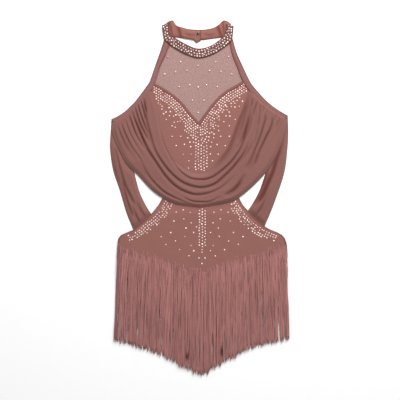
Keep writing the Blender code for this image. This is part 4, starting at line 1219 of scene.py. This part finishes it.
def strand_tubes(paths, radius, twist):
    """Twisted strands of a few sides. Paths are strand, station, xyz in mm."""
    count, stations = paths.shape[:2]
    run = np.gradient(paths, axis=1)
    run /= np.linalg.norm(run, axis=-1)[..., None]
    side = np.cross(run, (0.0, 0.0, 1.0))
    side /= np.linalg.norm(side, axis=-1)[..., None]
    over = np.cross(side, run)
    steps = np.linalg.norm(np.diff(paths, axis=1), axis=-1)
    length = np.concatenate([np.zeros((count, 1)), np.cumsum(steps, axis=1)], axis=1)
    corners = np.arange(STRAND_SIDES)
    angle = (length[..., None] * twist + corners * 2 * np.pi / STRAND_SIDES
             + np.arange(count)[:, None, None])
    ring = (paths[:, :, None] + radius[..., None, None] * (
        np.cos(angle)[..., None] * side[:, :, None] + np.sin(angle)[..., None] * over[:, :, None]))
    index = np.arange(count * stations * STRAND_SIDES).reshape(count, stations, STRAND_SIDES)
    a, b = index[:, :-1], index[:, 1:]
    walls = np.stack([a, b, np.roll(b, -1, axis=2), np.roll(a, -1, axis=2)], axis=-1)
    caps = np.concatenate([index[:, 0], index[:, -1, ::-1]])
    uv = np.stack([np.broadcast_to(corners * radius.max(), index.shape),
                   np.broadcast_to(length[..., None], index.shape)], axis=-1)
    quads = np.vstack([walls.reshape(-1, 4), caps])
    return ring.reshape(-1, 3), quads[:, ::-1], uv.reshape(-1, 2)


def leg_line(x):
    """Height in y at which a strand at x leaves the brief below its fringe line."""
    rows = np.array([row for row in BRIEF_ROWS if row[0] <= HIP_LEVEL])[::-1]
    left = np.interp(-x, -rows[:, 1], rows[:, 0])
    right = np.interp(x, rows[:, 2], rows[:, 0])
    return np.where(x < 0, left, right) - 5


def pushed_apart(x, y, tip, everywhere):
    """Strands moved sideways out of the partings that open their layer."""
    for centre, half, high, low, all_layers in FRINGE_PARTINGS:
        if everywhere or all_layers:
            off = (tip - centre)[:, None]
            window = rise(high - y, -12, 14) * rise(y - low, -12, 14)
            x = x + np.where(off < 0, -1, 1) * half * np.exp(-np.abs(off) / 5) * window
    return x


def in_dark_spots(x, y):
    """1 inside a dark spot, 0 well outside."""
    return sum(np.exp(-((x - centre_x) / wide) ** 4 - ((y - centre_y) / high) ** 4)
               for centre_x, centre_y, wide, high in FRINGE_DARK_SPOTS)


def fringe_paths(stations, locks, per_lock, level, end_level, everywhere, shorter, rng):
    """Centre lines of a layer of strands that hang together in locks, with each place's tone:
    random, with painted shade and painted light in it.
    """
    count = locks * per_lock
    line = along(FRINGE_LINE)
    root = line((np.arange(count) + 0.5) / count)
    lock = np.arange(count) // per_lock
    within = (np.arange(count) % per_lock + 0.5) / per_lock - 0.5
    lock_centre = line((lock + 0.5) / locks)
    root_x, tip_x = zip(*FRINGE_SPREAD)
    hem_x, hem_y = zip(*FRINGE_HEM)

    hang = np.interp(root[:, 0], root_x, tip_x)
    gather = 0.25 * (np.interp(lock_centre[:, 0], root_x, tip_x) - hang)
    tip = hang + gather + rng.normal(0, 0.8, locks)[lock] + rng.normal(0, 0.6, count)
    end_y = (np.interp(tip, hem_x, hem_y) + rng.uniform(-2.5, 6, count) + shorter
             + rng.uniform(-3, 4, locks)[lock])
    t = np.linspace(0, 1, stations)[None]
    head = root[:, 1:2] + HEADER_DEPTH
    y = head + (end_y[:, None] - head) * t
    sway = np.zeros_like(y)
    for size, waving in STRAND_SWAYS:
        phase = rng.uniform(0, 2 * np.pi, (count, 1))
        wander = rng.normal(0, size, (count, 1))
        sway += wander * np.sin(waving * t + phase) * rise(t, 0, 0.15)
    bow = rng.normal(0, 0.9, (locks, 1))[lock] * np.sin(np.pi * t)
    x = root[:, 0:1] + (tip - root[:, 0])[:, None] * t ** 0.9 + sway + bow
    x = pushed_apart(x, y, tip, everywhere)

    past_leg = rise(leg_line(root[:, 0])[:, None] - y, 0, 60)
    mound = 0.9 - 1.6 * within[:, None] ** 2
    over = rng.normal(0, 0.25, (count, 1)) * np.sin(3.3 * t * np.pi + rng.uniform(0, 6, (count, 1)))
    loft = rng.normal(0, 0.2, (locks, 1))[lock]
    lift = np.clip(mound + loft + over, 0, 2.0) * (1 - 0.35 * t)
    starts = rng.uniform(0, 12, (count, 1)) + rng.uniform(0, 7, (locks, 1))[lock]
    sewn = rise(head - y - starts, 0, 14)
    z = level + (end_level - level) * past_leg + lift * sewn - HEADER_DROP * (1 - sewn)

    tone = rng.normal(0.14, 0.13, count) + np.clip(rng.normal(0, 0.08, locks), -0.1, 0.2)[lock]
    # painted shade: on the leftmost strands, which face away from the light, and on the sides of
    # each lock, where it meets the next
    tone = tone + 0.28 * rise(-tip, 178, 186) + 0.12 * np.abs(within)
    streak = 0.13 * np.sin(9 * t + rng.uniform(0, 6, (count, 1))) + 0.07 * np.sin(
        23 * t + rng.uniform(0, 6, (count, 1)))
    tone = np.clip(tone[:, None] + streak, 0, 0.6) * (0.4 + 0.6 * sewn) + 0.30 * (1 - sewn)
    # a little darker down each strand, with painted light on the tips
    tone = 0.8 * (tone + 0.05 * rise(t, 0.2, 0.85) - 0.12 * rise(t, 0.92, 1))
    return np.stack([x, y, z], axis=-1), np.clip(tone + 0.9 * in_dark_spots(x, y), 0, 1)


def make_fringe(props):
    """Two layers of strands in front and one, lying flat, at the back."""
    rng = np.random.default_rng(FRINGE_SEED)
    radius = props.strand_diameter / MM / 2
    for name, row in FRINGE_LAYERS.items():
        locks, per_lock, level, end_level, share, everywhere, shorter, node = row
        paths, tone = fringe_paths(props.strand_stations, locks, per_lock, level, end_level,
                                   everywhere, shorter, rng)
        if node == "fringe_back":
            paths[..., 2] = level + 0.05 * np.sin(paths[..., 1] * 0.3)
        sizes = radius * share * np.ones(paths.shape[:2])
        sizes[:, -1] *= 0.5
        verts, quads, uv = strand_tubes(paths, sizes, props.strand_twist)
        made = put(name, verts, quads, uv, LOOKS["chainette"],
                   shade=np.repeat(tone, STRAND_SIDES))
        settle(made, [node])


# Stones

def stone_spot(x, y, z, rng, radius=None):
    """A stone's place, turn, radius and painted sparkle tone, a little off its mark as hand-set
    stones are.
    """
    radius = radius or rng.choice(STONE_RADII, p=STONE_SHARES)
    # painted sparkle: each stone a little brighter or duller at random
    tone = float(np.clip(rng.normal(0.35, 0.24), 0, 1))
    return (x, y, float(z(x, y)), rng.uniform(0, 0.8), radius, tone)


def band_stones(curve, rows, pitch, z, rng, loose=0.35):
    """Staggered rows along a curve; loose is how far a stone strays from its mark."""
    spots = []
    for number, (offset, share) in enumerate(rows):
        line = moved_aside(curve, offset)
        for x, y, *_ in row_spots(line, pitch, 0.0, phase=number % 2):
            if rng.random() < share:
                x, y = rng.normal((x, y), loose)
                spots.append(stone_spot(x, y, z, rng))
    return spots


def column_stones(column, z, rng):
    """Upright staggered columns of stones, one wide outside the levels of its broad part."""
    centre, (top, bottom), (across, down), half_width, (low, high) = column
    spots = []
    for number in range(-4, 5):
        for y in np.arange(top - (number % 2) * down / 2, bottom, -down):
            if abs(number * across) <= (half_width if low < y < high else 0):
                x, y = rng.normal((centre + number * across, y), 0.45)
                spots.append(stone_spot(x, y, z, rng))
    return spots


def mirrored(table, centre, z, rng, radius=None):
    """Single stones at both sides of a centre line: offset from it and y."""
    return [stone_spot(x, y, z, rng, radius) for offset, y in table
            for x in sorted({centre - offset, centre + offset})]


def far_enough(spots, apart, others=()):
    """Drop each spot that lies too close to one kept before it, or to one of the others."""
    kept = []
    taken = [spot[:2] for spot in others]
    for spot in spots:
        if not taken or np.hypot(*(np.array(taken) - spot[:2]).T).min() >= apart:
            kept.append(spot)
            taken.append(spot[:2])
    return kept


def fill_stones(spots, inside, box, apart, z, rng, tries=1200, radius=None):
    """Stones set into the gaps that the rows leave inside an area."""
    low_x, low_y, high_x, high_y = box
    for x, y in zip(rng.uniform(low_x, high_x, tries), rng.uniform(low_y, high_y, tries)):
        others = np.array([spot[:2] for spot in spots])
        if np.hypot(*(others - (x, y)).T).min() > apart and inside(x, y):
            spots.append(stone_spot(x, y, z, rng, radius))
    return spots


def on_collar(x, y):
    """Whether a plan point lies on the front collar, clear of its edges."""
    share = np.linspace(0, 1, 80)
    outline = np.vstack([along(COLLAR_LOWER)(share), along(COLLAR_UPPER)(share)[::-1]])
    to_edge = np.hypot(outline[:, 0] - x, outline[:, 1] - y).min()
    return bool(to_edge > COLLAR_CLEAR and outside_by(np.array([[x, y]]), outline)[0] == 0)


def bodice_room(x, y):
    """Distance of a plan point to the neckline; 0 off the bodice and beside the swag."""
    line = neckline()(np.linspace(0, 1, 120))
    beside_swag = outside_by(np.array([[x, y]]), swag_outline())[0] < SWAG_CLEAR
    if beside_swag or y > np.interp(x, line[:, 0], line[:, 1]):
        return 0.0
    return float(np.hypot(line[:, 0] - x, line[:, 1] - y).min())


def in_bodice_middle(x, y):
    """Whether a plan point lies in the filled middle of the bodice, wider toward the neckline."""
    half_width = 12 + 19 * rise(y, 104, 168)
    return abs(x - 2) < half_width and bodice_room(x, y) > NECK_FILL_CLEAR


def make_stones():
    """Stones set by rule: staggered bands along the edges, centre columns and mirrored singles."""
    rng = np.random.default_rng(STONE_SEED)

    collar = band_stones(along(COLLAR_LOWER), COLLAR_ROWS, COLLAR_PITCH, collar_top, rng, 0.6)
    collar = far_enough([spot for spot in collar if on_collar(*spot[:2])], COLLAR_APART)
    collar = fill_stones(collar, on_collar, COLLAR_FILL_BOX, COLLAR_FILL_APART, collar_top, rng,
                         2500, COLLAR_FILL_RADIUS)

    bodice = band_stones(neckline(), NECK_ROWS, NECK_PITCH, bodice_top, rng)
    bodice += column_stones(BODICE_COLUMN, bodice_top, rng)
    bodice = [spot for spot in bodice if bodice_room(*spot[:2]) > NECK_CLEAR]
    bodice = far_enough(bodice, BODICE_APART)
    bodice = fill_stones(bodice, in_bodice_middle, BODICE_FILL_BOX, BODICE_FILL_APART,
                         bodice_top, rng)
    singles = mirrored(BODICE_SINGLES, BODICE_MIRROR, bodice_top, rng)
    singles = [spot for spot in singles if bodice_room(*spot[:2]) > NECK_SINGLES_CLEAR]
    bodice += far_enough(singles, BODICE_SINGLES_APART, bodice)

    yoke = mirrored(YOKE_SINGLES, YOKE_MIRROR, yoke_top, rng, YOKE_STONE_RADIUS)

    brief = column_stones(BRIEF_COLUMN, brief_top, rng)
    for edge in (HIP_EDGE_LEFT, HIP_EDGE_RIGHT):
        brief += band_stones(along(edge), HIP_ROWS, HIP_PITCH, brief_top, rng, 0.5)
    brief = far_enough(brief, BRIEF_APART)
    singles = mirrored(BRIEF_SINGLES, BRIEF_MIRROR, brief_top, rng)
    brief += far_enough(singles, BRIEF_SINGLES_APART, brief)

    stone = stone_template()
    for name, spots in (("collar_stones", collar), ("bodice_stones", bodice),
                        ("yoke_stones", yoke), ("brief_stones", brief)):
        scattered(name, stone, spots, LOOKS["stone"])


def make_stitching(props):
    """Rows of stitches beside the edges of the collar, straps, binding and brief."""
    pitch = props.stitch_pitch / MM
    rows = []
    for outer, side in ((STRAP_LEFT_OUTER, -1), (STRAP_RIGHT_OUTER, 1)):
        spots = row_spots(moved_aside(along(outer), side * 1.5), pitch, STRAP_TOP - 0.05)
        share = (np.arange(len(spots)) + 0.5) / len(spots)
        spots[:, 2] += (STRAP_CLIMB + STRAP_CROWN) * rise(share, *STRAP_CLIMB_SHARES)
        rows.append(spots)
    rows.append(row_spots(moved_aside(neckline(), BINDING_WIDTH - 1.2), pitch, BINDING_TOP + 0.3))
    for edge, side in ((COLLAR_LOWER, -1), (COLLAR_UPPER, 1)):
        line = moved_aside(along(edge), side * 1.6)
        rows.append(row_spots(line, pitch, lambda x, y: collar_top(x, y) - 0.6))
    hip_sides = np.array(BRIEF_ROWS[1:13])
    for column, side in ((1, -1), (2, 1)):
        line = moved_aside(along(hip_sides[:, [column, 0]]), side * 2.2)
        rows.append(row_spots(line, pitch, lambda x, y: brief_top(x, y) + 0.05))
    scattered("seam_stitching", stitch_template(), np.vstack(rows), LOOKS["thread"],
              True)


# Stage

def place_camera(scene, view_width):
    """Overhead camera, at the height from which its picture is as wide as asked for."""
    camera_data = bpy.data.cameras.new("overhead_camera")
    camera_data.lens, camera_data.sensor_width = CAMERA_LENS, CAMERA_SENSOR
    camera = bpy.data.objects.new("overhead_camera", camera_data)
    height = view_width * camera_data.lens / camera_data.sensor_width
    camera.location = (0, CAMERA_SHIFT, height + CAMERA_RISE)
    scene.collection.objects.link(camera)
    scene.camera = camera


def light_room(scene, room_light, softbox_power):
    """Even white room light, and one softbox aimed at the garment."""
    world = bpy.data.worlds.new("soft_room")
    world.use_nodes = True
    set_inputs(world.node_tree, world.node_tree.nodes["Background"],
               {"Color": FLOOR_WHITE, "Strength": room_light})
    scene.world = world

    lamp_data = bpy.data.lights.new("softbox", "AREA")
    lamp_data.shape = "RECTANGLE"
    lamp_data.size, lamp_data.size_y = SOFTBOX_SIZE
    lamp_data.energy = softbox_power
    lamp = bpy.data.objects.new("softbox", lamp_data)
    lamp.location = SOFTBOX_PLACE
    lamp.rotation_euler = (-Vector(SOFTBOX_PLACE)).to_track_quat("-Z", "Y").to_euler()
    scene.collection.objects.link(lamp)


def lay_floor():
    """Pale surface that the garment lies on."""
    deselect()
    bpy.ops.mesh.primitive_plane_add(size=FLOOR_SIZE, location=(0, 0, FLOOR_LEVEL))
    floor = bpy.context.object
    floor.name = floor.data.name = "pale_floor"
    floor.data.materials.append(floor_look("pale_floor"))


def make_stage(props):
    scene = bpy.context.scene
    scene.view_settings.view_transform = "Standard"
    scene.view_settings.look = "None"
    place_camera(scene, props.view_width)
    light_room(scene, props.room_light, props.softbox_power)
    lay_floor()


# Add-on

def colour_property(name, description, default):
    return FloatVectorProperty(name=name, description=description, subtype="COLOR", size=3,
                               min=0, max=1, default=default)


class LeotardProperties(bpy.types.PropertyGroup):
    """Colours of the cloths, yarns and stones, and sizes of the strands and stitches"""
    jersey_colour: colour_property("Jersey", "Bodice, brief and back of the collar",
                                   (0.301, 0.124, 0.1025))
    binding_colour: colour_property("Bound edges", "Straps and the neckline's binding",
                                    (0.266, 0.117, 0.106))
    # the collar cloth's own colour, darkened to paint the shade between its stones
    collar_shaded_colour: colour_property("Collar", "Front collar's cloth", (0.150, 0.065, 0.057))
    # a darker copy of the jersey, which paints the swag's shade into its colour
    swag_shaded_colour: colour_property("Swag", "Front and back swag", (0.249, 0.105, 0.0895))
    net_colour: colour_property("Net", "Threads of the yoke", (0.385, 0.186, 0.160))
    fringe_colour: colour_property("Fringe", "Chainette strands", (0.485, 0.205, 0.188))
    thread_colour: colour_property("Thread", "Sewing thread", (0.17, 0.074, 0.064))
    stone_colour: colour_property("Stone", "Foiled stones", (0.90, 0.67, 0.61))
    ring_colour: colour_property("Ring", "Snap ring", (0.36, 0.22, 0.18))
    # painted shade: the stud is coloured as the shade in the ring's hole
    stud_shade_colour: colour_property("Stud", "Snap's middle", (0.11, 0.06, 0.05))
    strand_diameter: FloatProperty(name="Strand diameter", description="Thickness of one strand",
                                   default=1.7 * MM, unit="LENGTH")
    strand_stations: IntProperty(name="Strand stations", description="Sections along a strand",
                                 default=26, min=4, max=40)
    strand_twist: FloatProperty(name="Strand twist", default=0.04, subtype="ANGLE",
                                description="Turn of a strand over each millimetre of it")
    stitch_pitch: FloatProperty(name="Stitch pitch", description="One stitch and its gap",
                                default=2.9 * MM, unit="LENGTH")


class StageProperties(bpy.types.PropertyGroup):
    """Width of the picture and strength of its lights"""
    view_width: FloatProperty(name="View width", description="Width that the picture shows",
                              default=0.88, unit="LENGTH")
    room_light: FloatProperty(name="Room light", description="Strength of the even light",
                              default=0.60, min=0, soft_max=2, subtype="FACTOR")
    softbox_power: FloatProperty(name="Softbox", description="Power of the softbox",
                                 default=46.0, unit="POWER")


class LEOTARD_OT_looks(bpy.types.Operator):
    """Make the garment's materials"""
    bl_idname = "leotard.looks"
    bl_label = "Materials"

    def execute(self, context):
        make_looks(context.scene.leotard)
        return {"FINISHED"}


class LEOTARD_OT_stage(bpy.types.Operator):
    """Place the camera and the lights, and lay the floor"""
    bl_idname = "leotard.stage"
    bl_label = "Stage"

    def execute(self, context):
        make_stage(context.scene.leotard_stage)
        return {"FINISHED"}


class LEOTARD_OT_collar(bpy.types.Operator):
    """Make the front and back collar bands"""
    bl_idname = "leotard.collar"
    bl_label = "Collar"

    def execute(self, context):
        make_collar()
        return {"FINISHED"}


class LEOTARD_OT_snap(bpy.types.Operator):
    """Make the closure's ring and stud"""
    bl_idname = "leotard.snap"
    bl_label = "Snap"

    def execute(self, context):
        make_snap()
        return {"FINISHED"}


class LEOTARD_OT_straps(bpy.types.Operator):
    """Make the two side straps"""
    bl_idname = "leotard.straps"
    bl_label = "Straps"

    def execute(self, context):
        make_straps()
        return {"FINISHED"}


class LEOTARD_OT_yoke(bpy.types.Operator):
    """Make the sheer net yoke"""
    bl_idname = "leotard.yoke"
    bl_label = "Yoke"

    def execute(self, context):
        make_yoke()
        return {"FINISHED"}


class LEOTARD_OT_bodice(bpy.types.Operator):
    """Make the neckline's binding and the bodice"""
    bl_idname = "leotard.bodice"
    bl_label = "Bodice"

    def execute(self, context):
        make_bodice()
        return {"FINISHED"}


class LEOTARD_OT_back_swag(bpy.types.Operator):
    """Make the two halves of the back swag"""
    bl_idname = "leotard.back_swag"
    bl_label = "Back swag"

    def execute(self, context):
        make_back_swag()
        return {"FINISHED"}


class LEOTARD_OT_swag(bpy.types.Operator):
    """Make the front swag with its folds"""
    bl_idname = "leotard.swag"
    bl_label = "Front swag"

    def execute(self, context):
        make_swag()
        return {"FINISHED"}


class LEOTARD_OT_fringe(bpy.types.Operator):
    """Make the chainette fringe in front and at the back"""
    bl_idname = "leotard.fringe"
    bl_label = "Fringe"

    def execute(self, context):
        make_fringe(context.scene.leotard)
        return {"FINISHED"}


class LEOTARD_OT_brief(bpy.types.Operator):
    """Make the front and the back of the brief"""
    bl_idname = "leotard.brief"
    bl_label = "Brief"

    def execute(self, context):
        make_brief()
        return {"FINISHED"}


class LEOTARD_OT_stones(bpy.types.Operator):
    """Set the stones on the collar, yoke, bodice and brief"""
    bl_idname = "leotard.stones"
    bl_label = "Stones"

    def execute(self, context):
        make_stones()
        return {"FINISHED"}


class LEOTARD_OT_stitching(bpy.types.Operator):
    """Sew the rows of stitches beside the edges"""
    bl_idname = "leotard.stitching"
    bl_label = "Stitching"

    def execute(self, context):
        make_stitching(context.scene.leotard)
        return {"FINISHED"}


OPERATORS = (LEOTARD_OT_looks, LEOTARD_OT_stage, LEOTARD_OT_collar, LEOTARD_OT_snap,
             LEOTARD_OT_straps, LEOTARD_OT_yoke, LEOTARD_OT_bodice, LEOTARD_OT_back_swag,
             LEOTARD_OT_swag, LEOTARD_OT_fringe, LEOTARD_OT_brief, LEOTARD_OT_stones,
             LEOTARD_OT_stitching)


class LEOTARD_PT_panel(bpy.types.Panel):
    """The garment's colours and sizes, and a button for each piece"""
    bl_idname = "LEOTARD_PT_panel"
    bl_label = "Dance leotard"
    bl_space_type = "VIEW_3D"
    bl_region_type = "UI"
    bl_category = "Leotard"

    def draw(self, context):
        for group in (context.scene.leotard, context.scene.leotard_stage):
            for name in group.bl_rna.properties.keys():
                if name not in ("rna_type", "name"):
                    self.layout.prop(group, name)
        for each in OPERATORS:
            self.layout.operator(each.bl_idname)


CLASSES = (LeotardProperties, StageProperties, *OPERATORS, LEOTARD_PT_panel)


def register():
    for each in CLASSES:
        bpy.utils.register_class(each)
    bpy.types.Scene.leotard = PointerProperty(type=LeotardProperties)
    bpy.types.Scene.leotard_stage = PointerProperty(type=StageProperties)


def unregister():
    del bpy.types.Scene.leotard_stage
    del bpy.types.Scene.leotard
    for each in reversed(CLASSES):
        bpy.utils.unregister_class(each)


def main():
    register()
    bpy.ops.leotard.looks()
    bpy.ops.leotard.stage()
    bpy.ops.leotard.collar()
    bpy.ops.leotard.snap()
    bpy.ops.leotard.straps()
    bpy.ops.leotard.yoke()
    bpy.ops.leotard.bodice()
    bpy.ops.leotard.back_swag()
    bpy.ops.leotard.swag()
    bpy.ops.leotard.fringe()
    bpy.ops.leotard.brief()
    bpy.ops.leotard.stones()
    bpy.ops.leotard.stitching()


if __name__ == "__main__":
    main()
